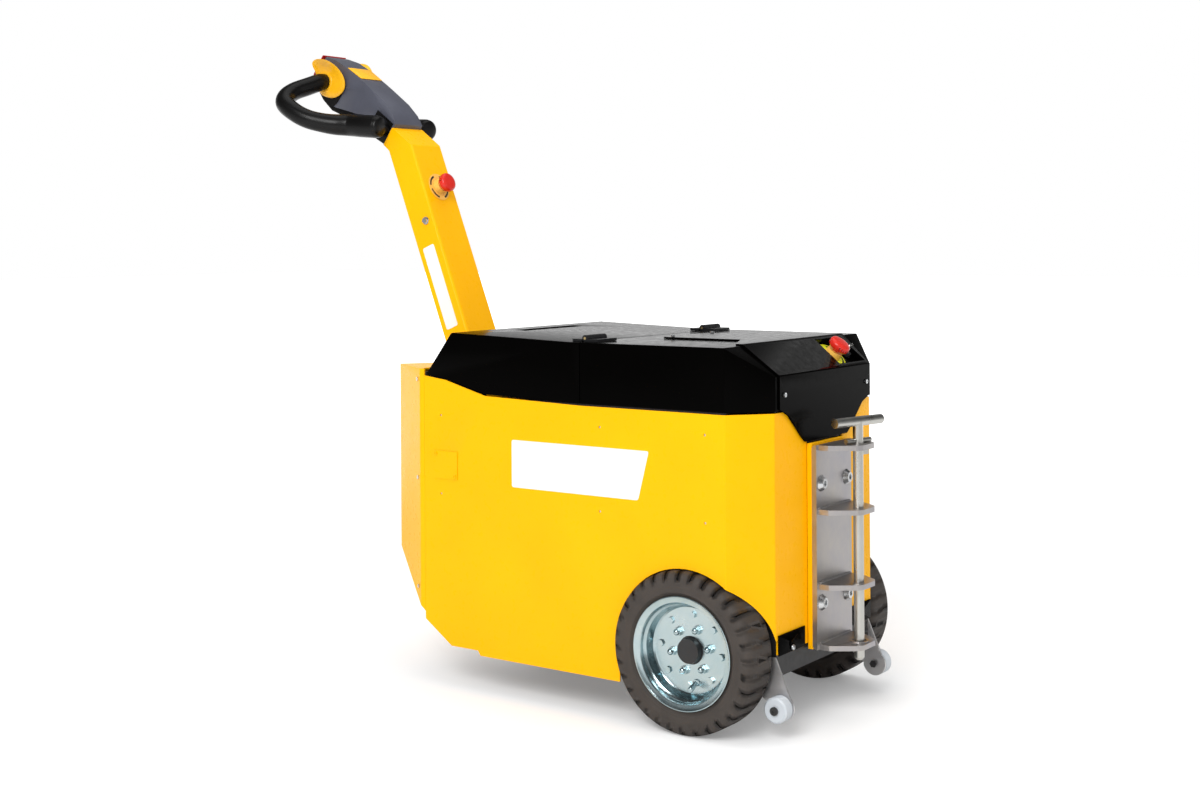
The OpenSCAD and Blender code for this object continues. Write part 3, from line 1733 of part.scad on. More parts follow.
module button_pad() {
  color(yellow) at_axle()
    head_frame()
      translate([0.65 * head_d, 0, 0.5 * head_l])
        rotate([0, atan2(-0.04 * head_d, 0.22 * head_l), 0])
          translate([fit, 0, 0.045 * head_l])
            fronted([
              [-0.34 * arm_w, 0],
              [0.34 * arm_w, 0],
              [0.36 * arm_w, 0.165 * head_l],
              [-0.36 * arm_w, 0.165 * head_l]
            ], 0, 0.6 * sheet_t);
}

// Grip loops: one tube bent round on each side and run straight through the head.
elbow_r = 1.6 * grip_r;
socket_l = 1.4 * grip_r;
loop_low = [-0.2 * grip_r, loop_low_z];
loop_mid = [loop_y - loop_r - elbow_r, bar_head_z - loop_r];
loop_gap = loop_mid - loop_low;
loop_turn = atan2(-loop_gap[1], -loop_gap[0]) + acos(loop_r / norm(loop_gap));
loop_end = loop_mid + loop_r * [cos(loop_turn), sin(loop_turn)];

// Straight run of the tube, a little thinner than its bends and let into them.
module tube_between(a, b, r) {
  d = b - a;
  lap = 0.08 * grip_r;
  translate([a[0], a[1], 0])
    rotate([0, 0, atan2(d[1], d[0])])
      translate([-lap, 0, 0])
        rotate([0, 90, 0])
          cylinder(r = r, h = norm(d) + 2 * lap);
}

// Outline of the thumb lever's wings about its axis
wing = [
  [1.1 * grip_r, 3.2 * grip_r],
  [2.2 * grip_r, 2.2 * grip_r],
  [2.55 * grip_r, 0.2 * grip_r],
  [2.2 * grip_r, -1.7 * grip_r],
  [0.9 * grip_r, -2.45 * grip_r],
  [-0.8 * grip_r, -2.1 * grip_r],
  [-1.7 * grip_r, -0.6 * grip_r],
  [-1.6 * grip_r, 0.6 * grip_r],
  [0.2 * grip_r, 1.7 * grip_r],
  [0.6 * grip_r, 2.9 * grip_r]
];

module far_loop() {
  translate([bar_head_x - elbow_r, lever_out + sheet_t, bar_head_z])
    rotate_extrude(angle = loop_droop)
      translate([elbow_r, 0])
        circle(r = grip_r);
  loop_frame() {
    tube_between([0, bar_head_z], [loop_mid[0], bar_head_z], 0.97 * grip_r);
    translate([loop_mid[0], loop_mid[1], 0])
      rotate([0, 0, loop_turn])
        rotate_extrude(angle = 90 - loop_turn)
          translate([loop_r, 0])
            circle(r = grip_r);
    tube_between(loop_low, loop_end, 0.97 * grip_r);
  }
}

module handlebar() {
  color(soft_black) at_axle()
    head_frame() {
      both_sides()
        far_loop();
      rod_y(bar_head_x, bar_head_z, -lever_out - sheet_t, lever_out + sheet_t, grip_r);
    }
}

module thumb_lever() {
  color(yellow) at_axle()
    head_frame()
      difference() {
        union() {
          rod_y(bar_head_x, bar_head_z, -lever_out, lever_out, sleeve_r);
          both_sides() {
            rod_y(bar_head_x, bar_head_z, lever_in, lever_out, 1.6 * grip_r);
            translate([bar_head_x, 0, bar_head_z])
              drawn(wing, lever_in, lever_out);
          }
        }
        rod_y(bar_head_x, bar_head_z, -arm_w, arm_w, grip_r + play);
      }
}

module belly_switch() {
  z0 = head_end + belly_travel + fit;
  color(deep_red) at_axle()
    head_frame() {
      intersection() {
        drawn([
          [-0.84 * head_d, z0],
          [0.27 * head_d, z0],
          [0.27 * head_d, z0 + 0.8 * sheet_t],
          [0.12 * head_d, z0 + 2.4 * sheet_t],
          [-0.7 * head_d, z0 + 2.4 * sheet_t],
          [-0.84 * head_d, z0 + 0.8 * sheet_t]
        ], -arm_w, arm_w);
        fronted([
          [-head_half, z0 - over],
          [head_half, z0 - over],
          [head_half, z0 + 0.8 * sheet_t],
          [0.86 * head_half, z0 + 2.4 * sheet_t],
          [-0.86 * head_half, z0 + 2.4 * sheet_t],
          [-head_half, z0 + 0.8 * sheet_t]
        ], -2 * head_d, head_d);
      }
      rod_z(stem_x, 0, 0.89 * head_l, z0 + sheet_t, stem_r);
    }
}

chassis_frame();
axle_carriers();
transaxle();
drive_motor();
battery_near();
battery_far();
battery_strap();
motor_controller();
charger_unit();
near_side_panel();
far_side_panel();
panel_spacers();
front_cover();
nose_plate();
nose_screws();
control_tray();
stop_base();
stop_disc();
key_switch();
switch_key();
rear_end_cover();
end_cover_screws();
access_cover();
corner_guards();
tow_back_plate();
hitch_bracket();
hitch_bolts();
stabiliser_arms();
roller_bolts();
cover_hinges();
hinge_pins();
pivot_shaft();
castor_mount();
rear_lid();
lid_hinges();
tow_pin();
near_tyre();
near_rim();
near_wheel_nuts();
near_hub();
far_tyre();
far_rim();
far_wheel_nuts();
far_hub();
castor_fork();
castor_wheel();
castor_axle();
near_roller();
far_roller();
tiller_arm();
arm_bolt();
arm_stop_base();
head_upper();
head_lower();
handlebar();
button_pad();
thumb_lever();
belly_switch();
arm_stop_head();
front_stop_head();
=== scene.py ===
import json
import math

import bmesh
import bpy
from mathutils import Matrix, Vector


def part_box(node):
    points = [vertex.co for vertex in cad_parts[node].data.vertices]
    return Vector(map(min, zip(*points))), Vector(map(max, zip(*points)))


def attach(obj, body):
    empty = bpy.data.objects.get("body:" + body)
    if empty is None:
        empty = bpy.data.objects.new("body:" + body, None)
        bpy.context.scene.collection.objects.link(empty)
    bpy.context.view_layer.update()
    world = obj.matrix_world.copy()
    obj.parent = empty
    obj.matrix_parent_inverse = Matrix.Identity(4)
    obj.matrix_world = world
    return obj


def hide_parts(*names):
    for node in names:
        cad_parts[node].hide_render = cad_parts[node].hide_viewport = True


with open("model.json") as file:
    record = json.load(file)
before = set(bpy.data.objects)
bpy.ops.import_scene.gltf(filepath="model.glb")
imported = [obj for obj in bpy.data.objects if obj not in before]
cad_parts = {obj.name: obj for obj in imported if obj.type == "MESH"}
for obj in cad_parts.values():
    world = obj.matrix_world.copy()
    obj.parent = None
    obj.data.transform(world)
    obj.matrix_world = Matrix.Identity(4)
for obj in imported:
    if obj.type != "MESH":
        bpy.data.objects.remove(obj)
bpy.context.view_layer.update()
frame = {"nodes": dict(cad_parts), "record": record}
nodes = frame["nodes"]
print("frame loaded:", len(nodes), "nodes")

bodyOf = {node: body for body, members in frame["record"]["behaviour"]["bodies"].items()
          for node in members}
slotOf = {row["node"]: row["material_slot"] for row in frame["record"]["subparts"]}

axleLow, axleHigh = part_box("near_rim")

# Places shared by several pieces, in metres and degrees
place = {
    "axleX": (axleLow[0] + axleHigh[0]) / 2,
    "wheelY": 0.222,
    "wheelRadius": 0.140,
    "pivotBack": 0.553,
    "pivotHeight": 0.330,
    "tillerLean": 21.3,
    "armHalf": 0.047,
    "headSet": (-0.005367, 0.0, 0.811),
    "headTilt": 33.0,
    "noseAhead": 0.1109,
    "noseHeight": 0.6365,
    "noseSlope": 39.53,
    "nearSide": -0.244,
    "armLength": 0.876,
}


def turned(axis, degrees):
    return Matrix.Rotation(math.radians(degrees), 4, axis)


def moved(x, y, z):
    return Matrix.Translation((x, y, z))


mirrorY = Matrix.Scale(-1, 4, (0, 1, 0))
axleFrame = moved(place["axleX"], 0, 0)
tillerFrame = (axleFrame @ moved(-place["pivotBack"], 0, place["pivotHeight"])
               @ turned("Y", -place["tillerLean"]))
headFrame = tillerFrame @ moved(*place["headSet"]) @ turned("Y", -place["headTilt"])
noseFrame = (axleFrame @ moved(place["noseAhead"], 0, place["noseHeight"])
             @ turned("Y", place["noseSlope"]))
nearWheelFrame = (moved(place["axleX"], -place["wheelY"], place["wheelRadius"])
                  @ turned("X", 90))
farWheelFrame = mirrorY @ nearWheelFrame


# Shader maths: a Wire is one output socket, and sums of Wires add Math nodes.
class Wire:
    def __init__(self, finish, socket):
        self.finish = finish
        self.socket = socket

    def maths(self, operation, first, second=0.0):
        return self.finish.node("ShaderNodeMath", {"operation": operation},
                                {0: first, 1: second})[0]

    def __add__(self, other):
        return self.maths("ADD", self, other)

    def __sub__(self, other):
        return self.maths("SUBTRACT", self, other)

    def __mul__(self, other):
        return self.maths("MULTIPLY", self, other)

    def __pow__(self, other):
        return self.maths("POWER", self, other)

    def sine(self):
        return self.maths("SINE", self)


noiseLevels = (0.3, 0.7)


# One finish: a material whose nodes are added through a single method.
class Finish:
    def __init__(self, name):
        self.material = bpy.data.materials.new(name)
        self.material.use_nodes = True
        self.tree = self.material.node_tree
        self.tree.nodes.clear()
        self.surface = self.node("ShaderNodeBsdfPrincipled", {}, {})
        self.node("ShaderNodeOutputMaterial", {}, {"Surface": self.surface[0]})
        self.spot = self.node("ShaderNodeTexCoord", {}, {})["Object"]

    def node(self, kind, settings, sockets):
        made = self.tree.nodes.new(kind)
        for key, value in settings.items():
            setattr(made, key, value)
        for key, value in sockets.items():
            if isinstance(value, Wire):
                self.tree.links.new(value.socket, made.inputs[key])
            else:
                made.inputs[key].default_value = value
        return Outputs(self, made)

    def noise(self, scale, detail=2.0, roughness=0.5, stretch=None):
        spot = self.spot
        if stretch:
            spot = self.node("ShaderNodeMapping", {}, {"Vector": spot, "Scale": stretch})[0]
        return self.node("ShaderNodeTexNoise", {}, {
            "Vector": spot, "Scale": scale, "Detail": detail, "Roughness": roughness})["Fac"]

    # Noise stays mostly between these two levels, and they are drawn out to low and high.
    def spread(self, value, low, high):
        return self.node("ShaderNodeMapRange", {}, {
            "Value": value, "From Min": noiseLevels[0], "From Max": noiseLevels[1],
            "To Min": low, "To Max": high})[0]

    def tint(self, share, first, second):
        return self.node("ShaderNodeMix", {"data_type": "RGBA"}, {
            "Factor": share, 6: solid(first), 7: solid(second)})[2]

    def dress(self, values):
        for key, value in values.items():
            socket = self.surface.node.inputs[key]
            if isinstance(value, Wire):
                self.tree.links.new(value.socket, socket)
            else:
                socket.default_value = value
        return self

    def fromAxle(self):
        axes = self.node("ShaderNodeSeparateXYZ", {}, {"Vector": self.spot})
        dx = axes["X"] - place["axleX"]
        dz = axes["Z"] - place["wheelRadius"]
        return (dx * dx + dz * dz) ** 0.5

    def relief(self, height, depth):
        bump = self.node("ShaderNodeBump", {}, {
            "Height": height, "Distance": depth, "Strength": 1.0})
        return bump["Normal"]


class Outputs:
    def __init__(self, finish, node):
        self.finish = finish
        self.node = node

    def __getitem__(self, key):
        return Wire(self.finish, self.node.outputs[key])


def solid(colour):
    return (*colour, 1.0)


def shade(colour, factor):
    return tuple(min(1.0, c * factor) for c in colour)


# Powder coat: orange peel, faint mottling and a clear gloss. Rows: scale, detail of a noise.
coat = {"broad": (7.0, 3.0), "skin": (380.0, 1.5), "fine": (90.0, 4.0), "swing": 0.05,
        "glossRough": 0.08}


def powderCoat(name, colour, rough=0.3, gloss=0.1, peel=0.000012, mottle=0.03, sheen=0.35):
    f = Finish(name)
    broad = f.noise(*coat["broad"])
    skin = f.noise(*coat["skin"])
    fine = f.noise(*coat["fine"])
    return f.dress({
        "Base Color": f.tint(f.spread(broad, 0.0, 1.0), shade(colour, 1 - mottle),
                             shade(colour, 1 + mottle)),
        "Roughness": f.spread(fine, rough - coat["swing"], rough + coat["swing"]),
        "Specular IOR Level": sheen,
        "Coat Weight": gloss,
        "Coat Roughness": coat["glossRough"],
        "Normal": f.relief(skin, peel),
    }).material


# Plated or bare metal: cloudy tone, drawn streaks along one way, fine scratches.
metal = {
    "clouds": (5.0, 0.6),
    "drawn": (60.0, 3.0, 0.55),
    "grit": (900.0, 2.0),
    "toneShares": (0.7, 0.3),
    "roughShares": (0.6, 0.4),
    "smoother": 0.09,
    "rougher": 0.12,
    "reliefShares": (0.7, 0.3),
}


def metalFinish(name, colour, second, rough=0.32, streak=(1, 1, 18), cloud=14.0, relief=0.000012):
    f = Finish(name)
    clouds = f.noise(cloud, *metal["clouds"])
    drawn = f.noise(*metal["drawn"], streak)
    grit = f.noise(*metal["grit"])
    cloudTone, drawnTone = metal["toneShares"]
    drawnRough, cloudRough = metal["roughShares"]
    drawnRelief, gritRelief = metal["reliefShares"]
    mixed = f.spread(clouds, 0.0, cloudTone) + f.spread(drawn, 0.0, drawnTone)
    return f.dress({
        "Base Color": f.tint(mixed, colour, second),
        "Metallic": 1.0,
        "Roughness": f.spread(drawn * drawnRough + clouds * cloudRough,
                              rough - metal["smoother"], rough + metal["rougher"]),
        "Normal": f.relief(drawn * drawnRelief + grit * gritRelief, relief),
    }).material


# Moulded plastic or rubber: a fine grain and slightly uneven sheen.
moulded = {"broad": (22.0, 4.0), "skinDetail": 2.0, "share": 0.5, "swing": 0.07}


def mouldedFinish(name, colour, rough=0.5, grain=1400.0, depth=0.000015, variety=0.08,
                  sheen=0.5):
    f = Finish(name)
    broad = f.noise(*moulded["broad"])
    skin = f.noise(grain, moulded["skinDetail"])
    return f.dress({
        "Base Color": f.tint(f.spread(broad, 0.0, 1.0), shade(colour, 1 - variety),
                             shade(colour, 1 + variety)),
        "Roughness": f.spread(broad * moulded["share"] + skin * moulded["share"],
                              rough - moulded["swing"], rough + moulded["swing"]),
        "Specular IOR Level": sheen,
        "Normal": f.relief(skin, depth),
    }).material


# Cast iron with a coarse skin under thin paint.
cast = {"sand": (320.0, 3.0, 0.7), "broad": (18.0, 3.0), "tones": (0.85, 1.15),
        "smoother": 0.08, "rougher": 0.1, "depth": 0.00005}


def castFinish(name, colour, rough=0.5, metallic=0.0):
    f = Finish(name)
    sand = f.noise(*cast["sand"])
    broad = f.noise(*cast["broad"])
    darker, lighter = cast["tones"]
    return f.dress({
        "Base Color": f.tint(f.spread(broad, 0.0, 1.0), shade(colour, darker),
                             shade(colour, lighter)),
        "Metallic": metallic,
        "Roughness": f.spread(sand, rough - cast["smoother"], rough + cast["rougher"]),
        "Normal": f.relief(sand, cast["depth"]),
    }).material


# Tyre rubber: dusty brown-grey, with faint moulding rings on the sidewall.
rubber = {"rings": 4200.0, "dust": (26.0, 6.0, 0.65), "grain": (700.0, 3.0), "tones": (0.8, 1.25),
          "rough": (0.62, 0.78), "ringShare": 0.25, "depth": 0.00004}


def tyreFinish(name, colour):
    f = Finish(name)
    rings = (f.fromAxle() * rubber["rings"]).sine() * 0.5 + 0.5
    dust = f.noise(*rubber["dust"])
    grain = f.noise(*rubber["grain"])
    darker, lighter = rubber["tones"]
    share = rubber["ringShare"]
    return f.dress({
        "Base Color": f.tint(f.spread(dust, 0.0, 1.0), shade(colour, darker),
                             shade(colour, lighter)),
        "Roughness": f.spread(dust, *rubber["rough"]),
        "Normal": f.relief(rings * share + grain * (1 - share), rubber["depth"]),
    }).material


# Bright zinc on a spun rim: turning marks round the wheel axle and a cool cast.
zinc = {"turns": 9000.0, "waver": 40.0, "waverBy": 3.0, "clouds": (18.0, 5.0, 0.6),
        "rough": (0.16, 0.3), "depth": 0.000012}


def rimFinish(name, colour, second):
    f = Finish(name)
    wavering = f.noise(zinc["waver"]) * zinc["waverBy"]
    turning = (f.fromAxle() * zinc["turns"] + wavering).sine() * 0.5 + 0.5
    clouds = f.noise(*zinc["clouds"])
    return f.dress({
        "Base Color": f.tint(f.spread(clouds, 0.0, 1.0), colour, second),
        "Metallic": 1.0,
        "Roughness": f.spread(clouds, *zinc["rough"]),
        "Normal": f.relief(turning, zinc["depth"]),
    }).material


yellow = (1.0, 0.47, 0.0015)
finishes = {
    "frame_black": powderCoat("frameCoat", (0.014, 0.014, 0.015), 0.42, 0.0, 0.00002),
    "cast_black": castFinish("carrierCasting", (0.03, 0.03, 0.032)),
    "gear_case": castFinish("gearCasing", (0.36, 0.37, 0.39), 0.45, 0.8),
    "motor_case": powderCoat("motorCoat", (0.05, 0.055, 0.06), 0.4, 0.1, 0.00002),
    "battery_case": mouldedFinish("batteryShell", (0.03, 0.03, 0.034), 0.45),
    "strap_steel": metalFinish("strapSteel", (0.5, 0.51, 0.53), (0.62, 0.63, 0.65), 0.35,
                               (1, 14, 14)),
    "controller_case": castFinish("controllerCasing", (0.2, 0.21, 0.23), 0.4, 0.7),
    "charger_case": powderCoat("chargerCoat", (0.04, 0.08, 0.15), 0.35, 0.1),
    "yellow_paint": powderCoat("yellowCoat", yellow, 0.3, 0.02, sheen=0.08),
    "black_paint": powderCoat("blackCoat", (0.0009, 0.0008, 0.0007), 0.17, 0.0, mottle=0.1,
                              sheen=0.021),
    "fastener_zinc": metalFinish("fastenerZinc", (0.6, 0.62, 0.64), (0.74, 0.75, 0.75), 0.26,
                                 (1, 1, 1)),
    "hitch_zinc": metalFinish("hitchZinc", (0.38, 0.37, 0.41), (0.56, 0.53, 0.49), 0.38,
                              (9, 9, 1)),
    "pin_steel": metalFinish("pinSteel", (0.54, 0.535, 0.5), (0.64, 0.635, 0.6), 0.3, (1, 1, 0.3),
                             relief=0.000001),
    "rim_zinc": rimFinish("rimZinc", (0.4, 0.53, 0.565), (0.56, 0.66, 0.68)),
    "tyre": tyreFinish("tyreRubber", (0.046, 0.037, 0.031)),
    "hub_black": castFinish("hubCasting", (0.018, 0.018, 0.019), 0.4),
    "roller": mouldedFinish("rollerNylon", (0.56, 0.6, 0.64), 0.38, 500.0, 0.00003, 0.05),
    "castor_tyre": mouldedFinish("castorRubber", (0.035, 0.035, 0.037), 0.6),
    "stop_collar": mouldedFinish("stopCollar", (0.9, 0.5, 0.09), 0.35, 900.0, 0.00002),
    "stop_label": mouldedFinish("stopLabel", (0.78, 0.82, 0.0), 0.45, 900.0, 0.00001, 0.03),
    "stop_red": mouldedFinish("stopRed", (0.66, 0.018, 0.008), 0.3, 800.0, 0.00002, 0.06),
    "switch_black": mouldedFinish("switchPlastic", (0.02, 0.02, 0.021), 0.4),
    "key_steel": metalFinish("keyNickel", (0.56, 0.55, 0.52), (0.7, 0.69, 0.66), 0.25, (1, 1, 1)),
    "hinge_black": powderCoat("hingeCoat", (0.008, 0.008, 0.009), 0.38, 0.0, 0.00002),
    "hinge_brass": metalFinish("hingeBrass", (0.6, 0.44, 0.2), (0.78, 0.6, 0.3), 0.25, (1, 12, 1)),
    "shaft_steel": metalFinish("shaftSteel", (0.42, 0.42, 0.43), (0.6, 0.6, 0.61), 0.3,
                               (1, 0.1, 1)),
    "head_grey": mouldedFinish("headGrey", (0.078, 0.082, 0.108), 0.4, 1200.0, 0.00002),
    "head_black": mouldedFinish("headBlack", (0.005, 0.0045, 0.0045), 0.45, 1200.0, 0.00002,
                                sheen=0.2),
    "grip_rubber": mouldedFinish("gripRubber", (0.0035, 0.0033, 0.0033), 0.33, 1700.0, 0.000016,
                                 sheen=0.25),
    "lever_yellow": mouldedFinish("leverYellow", (0.95, 0.47, 0.006), 0.32, 900.0, 0.00002, 0.04),
    "belly_red": mouldedFinish("bellyRed", (0.42, 0.006, 0.008), 0.35, 900.0, 0.00002),
}
labelWhite = mouldedFinish("labelFilm", (0.83, 0.83, 0.82), 0.4, 300.0, 0.00001, 0.015)
markBlack = mouldedFinish("markInk", (0.02, 0.02, 0.02), 0.5, 900.0, 0.00001, 0.05)
boltBlack = mouldedFinish("boltBlack", (0.02, 0.02, 0.021), 0.42, 900.0, 0.00003)
armZinc = metalFinish("armZinc", (0.66, 0.65, 0.66), (0.8, 0.79, 0.79), 0.42, (1, 9, 9))

# Nodes whose finish isn't the one of their slot
ownFinish = {"stabiliser_arms": armZinc, "roller_bolts": boltBlack}


def finishOf(node):
    return ownFinish.get(node, finishes[slotOf[node]])


for name, node in nodes.items():
    node.data.materials.clear()
    node.data.materials.append(finishOf(name))
print("finishes made:", len(bpy.data.materials))


# One scene object from a bmesh: it rides a body, has a slot and may stand in for nodes.
def finished(bm, name, body, material, replaced=(), crease=35.0, flip=True):
    if flip:
        bmesh.ops.recalc_face_normals(bm, faces=bm.faces[:])
    mesh = bpy.data.meshes.new(name)
    bm.to_mesh(mesh)
    bm.free()
    piece = bpy.data.objects.new(name, mesh)
    bpy.context.scene.collection.objects.link(piece)
    mesh.materials.append(material)
    mesh.shade_smooth()
    mesh.set_sharp_from_angle(angle=math.radians(crease))
    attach(piece, body)
    if replaced:
        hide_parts(*replaced)
    return piece


# A chain of points in the x, z plane, spun about z.
def spun(points, steps, degrees=360.0):
    bm = bmesh.new()
    chain = [bm.verts.new((x, 0.0, z)) for x, z in points]
    edges = [bm.edges.new(pair) for pair in zip(chain, chain[1:])]
    bmesh.ops.spin(bm, geom=chain + edges, cent=(0, 0, 0), axis=(0, 0, 1), dvec=(0, 0, 0),
                   angle=math.radians(degrees), steps=steps, use_merge=degrees == 360.0,
                   use_duplicate=False)
    bmesh.ops.remove_doubles(bm, verts=bm.verts[:], dist=1e-6)
    return bm


# A flat outline in the x, z plane at y = seat, drawn out to a thin plate.
def slab(outline, seat, out, corner=0.0, segments=1):
    bm = bmesh.new()
    bm.faces.new([bm.verts.new((x, seat, z)) for x, z in outline])
    if corner:
        bmesh.ops.bevel(bm, geom=bm.verts[:], offset=corner, offset_type="OFFSET",
                        segments=segments, profile=0.5, affect="VERTICES", clamp_overlap=True,
                        material=-1)
    grown = bmesh.ops.extrude_face_region(bm, geom=bm.faces[:], use_keep_orig=True)["geom"]
    bmesh.ops.translate(bm, vec=(0, out, 0),
                        verts=[v for v in grown if isinstance(v, bmesh.types.BMVert)])
    return bm


# Adds one bmesh to another and frees the first.
def joined(whole, part):
    scrap = bpy.data.meshes.new("scrap")
    part.to_mesh(scrap)
    part.free()
    whole.from_mesh(scrap)
    bpy.data.meshes.remove(scrap)


# Copies of folded sheet and plate nodes with rounded folds and eased edges.
softEdges = {
    "fold": 0.0035,
    "ease": 0.0007,
    "segments": 4,
    "easeSegments": 2,
    "merge": 2e-6,
    "flat": 0.5,
    "crease": 22.0,
    "sharp": 20.0,
    "shortest": 0.008,
    "broad": 0.004,
    "nodes": {
        "tiller_arm": {"fold": 0.0055},
        "near_side_panel": {"fold": 0.004},
        "far_side_panel": {"fold": 0.004},
        "front_cover": {},
        "nose_plate": {"fold": 0.0025},
        "rear_lid": {},
        "rear_end_cover": {},
        "tow_back_plate": {"fold": 0.001},
        "hitch_bracket": {"fold": 0.0012, "ease": 0.0012},
        "corner_guards": {"fold": 0.0008},
        "stabiliser_arms": {"fold": 0.0008},
        "head_upper": {"fold": 0.005, "ease": 0.0015},
        "head_lower": {"fold": 0.004, "ease": 0.0015},
        "button_pad": {"fold": 0.0006, "ease": 0.0006},
        "belly_switch": {"fold": 0.002, "ease": 0.0015},
    },
}


# The lower housing is cut beside the head, where the grip boss takes over.
rootCut = {"node": "head_lower", "side": 0.0426}


def trimmed(bm):
    for way in (1, -1):
        normal = headFrame.to_3x3() @ Vector((0, way, 0))
        cut = bmesh.ops.bisect_plane(
            bm, geom=bm.verts[:] + bm.edges[:] + bm.faces[:], dist=1e-6,
            plane_co=headFrame @ Vector((0, way * rootCut["side"], 0)), plane_no=normal,
            clear_outer=True)["geom_cut"]
        rims = [part for part in cut if isinstance(part, bmesh.types.BMEdge)]
        bmesh.ops.triangle_fill(bm, use_beauty=True, use_dissolve=False, edges=rims,
                                normal=normal)


def softened(node, fold, ease):
    bm = bmesh.new()
    bm.from_mesh(nodes[node].data)
    bmesh.ops.remove_doubles(bm, verts=bm.verts[:], dist=softEdges["merge"])
    bmesh.ops.dissolve_limit(bm, angle_limit=math.radians(softEdges["flat"]),
                             use_dissolve_boundaries=False, verts=bm.verts[:],
                             edges=bm.edges[:], delimit=set())
    if node == rootCut["node"]:
        trimmed(bm)
    before = bm.calc_volume()
    for width, wanted in ((fold, True), (ease, False)):
        edges = []
        for edge in bm.edges:
            if len(edge.link_faces) != 2 or not edge.is_convex:
                continue
            angle = edge.calc_face_angle(0.0)
            if angle < math.radians(softEdges["sharp"]):
                continue
            if edge.calc_length() < softEdges["shortest"]:
                continue
            broad = min(face.calc_area() for face in edge.link_faces) > softEdges["broad"]
            if broad == wanted:
                edges.append(edge)
        if edges:
            bmesh.ops.bevel(bm, geom=edges, offset=width, offset_type="OFFSET",
                            segments=softEdges["segments" if wanted else "easeSegments"],
                            profile=0.5, affect="EDGES", clamp_overlap=True, material=-1)
    print("softened", node, len(bm.faces), "faces, volume", round(bm.calc_volume() / before, 4))
    return finished(bm, node + ".soft", bodyOf[node], finishOf(node), (node,),
                    softEdges["crease"], flip=False)


for name, widths in softEdges["nodes"].items():
    softened(name, widths.get("fold", softEdges["fold"]), widths.get("ease", softEdges["ease"]))


# Drive tyres: a spun section with shoulder slots and a solid middle rib.
tyre = {
    "lugs": 32,
    "slotShare": 0.27,
    "lugSteps": 3,
    "slotDepth": 0.0062,
    "section": [
        (0.0885, -0.0315), (0.0985, -0.0318), (0.1035, -0.0368), (0.1045, -0.0384),
        (0.1065, -0.0378), (0.1125, -0.0392), (0.1165, -0.0398), (0.1185, -0.0392),
        (0.1262, -0.0396), (0.1325, -0.0378), (0.1368, -0.0346), (0.1394, -0.0292),
        (0.1400, -0.0200), (0.1400, -0.0130), (0.1400, 0.0130), (0.1400, 0.0200),
        (0.1394, 0.0292), (0.1368, 0.0346), (0.1325, 0.0378), (0.1262, 0.0396),
        (0.1185, 0.0392), (0.1165, 0.0398), (0.1125, 0.0392), (0.1065, 0.0378),
        (0.1045, 0.0384), (0.1035, 0.0368), (0.0985, 0.0318), (0.0885, 0.0315),
    ],
    "slotFrom": 0.1255,
    "ribHalf": 0.0130,
    "slotNarrow": 0.7,
    "fadeFrom": 0.118,
    "fadeOver": 0.02,
    "draft": 0.0022,
    "crownFrom": 0.1385,
    "lip": 0.0007,
    "lipAngle": 50.0,
}


def treaded(wheelFrame, name, body, node):
    bm = bmesh.new()
    points = [bm.verts.new((r, 0.0, across)) for r, across in tyre["section"]]
    geom = points + [bm.edges.new((points[i], points[(i + 1) % len(points)]))
                     for i in range(len(points))]
    pitch = 360.0 / tyre["lugs"]
    slots = []
    for lug in range(tyre["lugs"]):
        for share, steps, isSlot in ((tyre["slotShare"], 1, True),
                                     (1 - tyre["slotShare"], tyre["lugSteps"], False)):
            known = set(bm.faces)
            geom = bmesh.ops.spin(
                bm, geom=geom, cent=(0, 0, 0), axis=(0, 0, 1), dvec=(0, 0, 0),
                angle=math.radians(pitch * share), steps=steps, use_merge=False,
                use_duplicate=False)["geom_last"]
            if isSlot:
                slots.append([face for face in bm.faces if face not in known])
    bmesh.ops.remove_doubles(bm, verts=bm.verts[:], dist=1e-5)
    bmesh.ops.recalc_face_normals(bm, faces=bm.faces[:])
    for slot in slots:
        for side in (-1, 1):
            mouth = []
            for face in slot:
                if not face.is_valid:
                    continue
                middle = face.calc_center_median()
                radius = math.hypot(middle.x, middle.y)
                if middle.z * side > tyre["ribHalf"] and radius > tyre["slotFrom"]:
                    mouth.append(face)
            cut = bmesh.ops.extrude_face_region(bm, geom=mouth)["geom"]
            floor = [part for part in cut if isinstance(part, bmesh.types.BMVert)]
            centre = sum((v.co for v in floor), Vector()) / len(floor)
            middleTurn = math.atan2(centre.y, centre.x)
            for vert in floor:
                radius = math.hypot(vert.co.x, vert.co.y)
                turn = math.atan2(vert.co.y, vert.co.x)
                swing = (turn - middleTurn + math.pi) % (2 * math.pi) - math.pi
                fade = min(1.0, (radius - tyre["fadeFrom"]) / tyre["fadeOver"])
                lower = radius - tyre["slotDepth"] * fade
                narrow = middleTurn + swing * tyre["slotNarrow"]
                vert.co.x = lower * math.cos(narrow)
                vert.co.y = lower * math.sin(narrow)
                if radius < tyre["crownFrom"]:
                    vert.co.z -= side * tyre["draft"]
    lips = [edge for edge in bm.edges if len(edge.link_faces) == 2 and edge.is_convex
            and edge.calc_face_angle(0.0) > math.radians(tyre["lipAngle"])]
    bmesh.ops.bevel(bm, geom=lips, offset=tyre["lip"], offset_type="OFFSET", segments=2,
                    profile=0.5, affect="EDGES", clamp_overlap=True, material=-1)
    bm.transform(wheelFrame)
    return finished(bm, name, body, finishes["tyre"], (node,), 32.0)


treaded(nearWheelFrame, "nearTread", "near_wheel", "near_tyre")
treaded(farWheelFrame, "farTread", "far_wheel", "far_tyre")
print("tyres done")

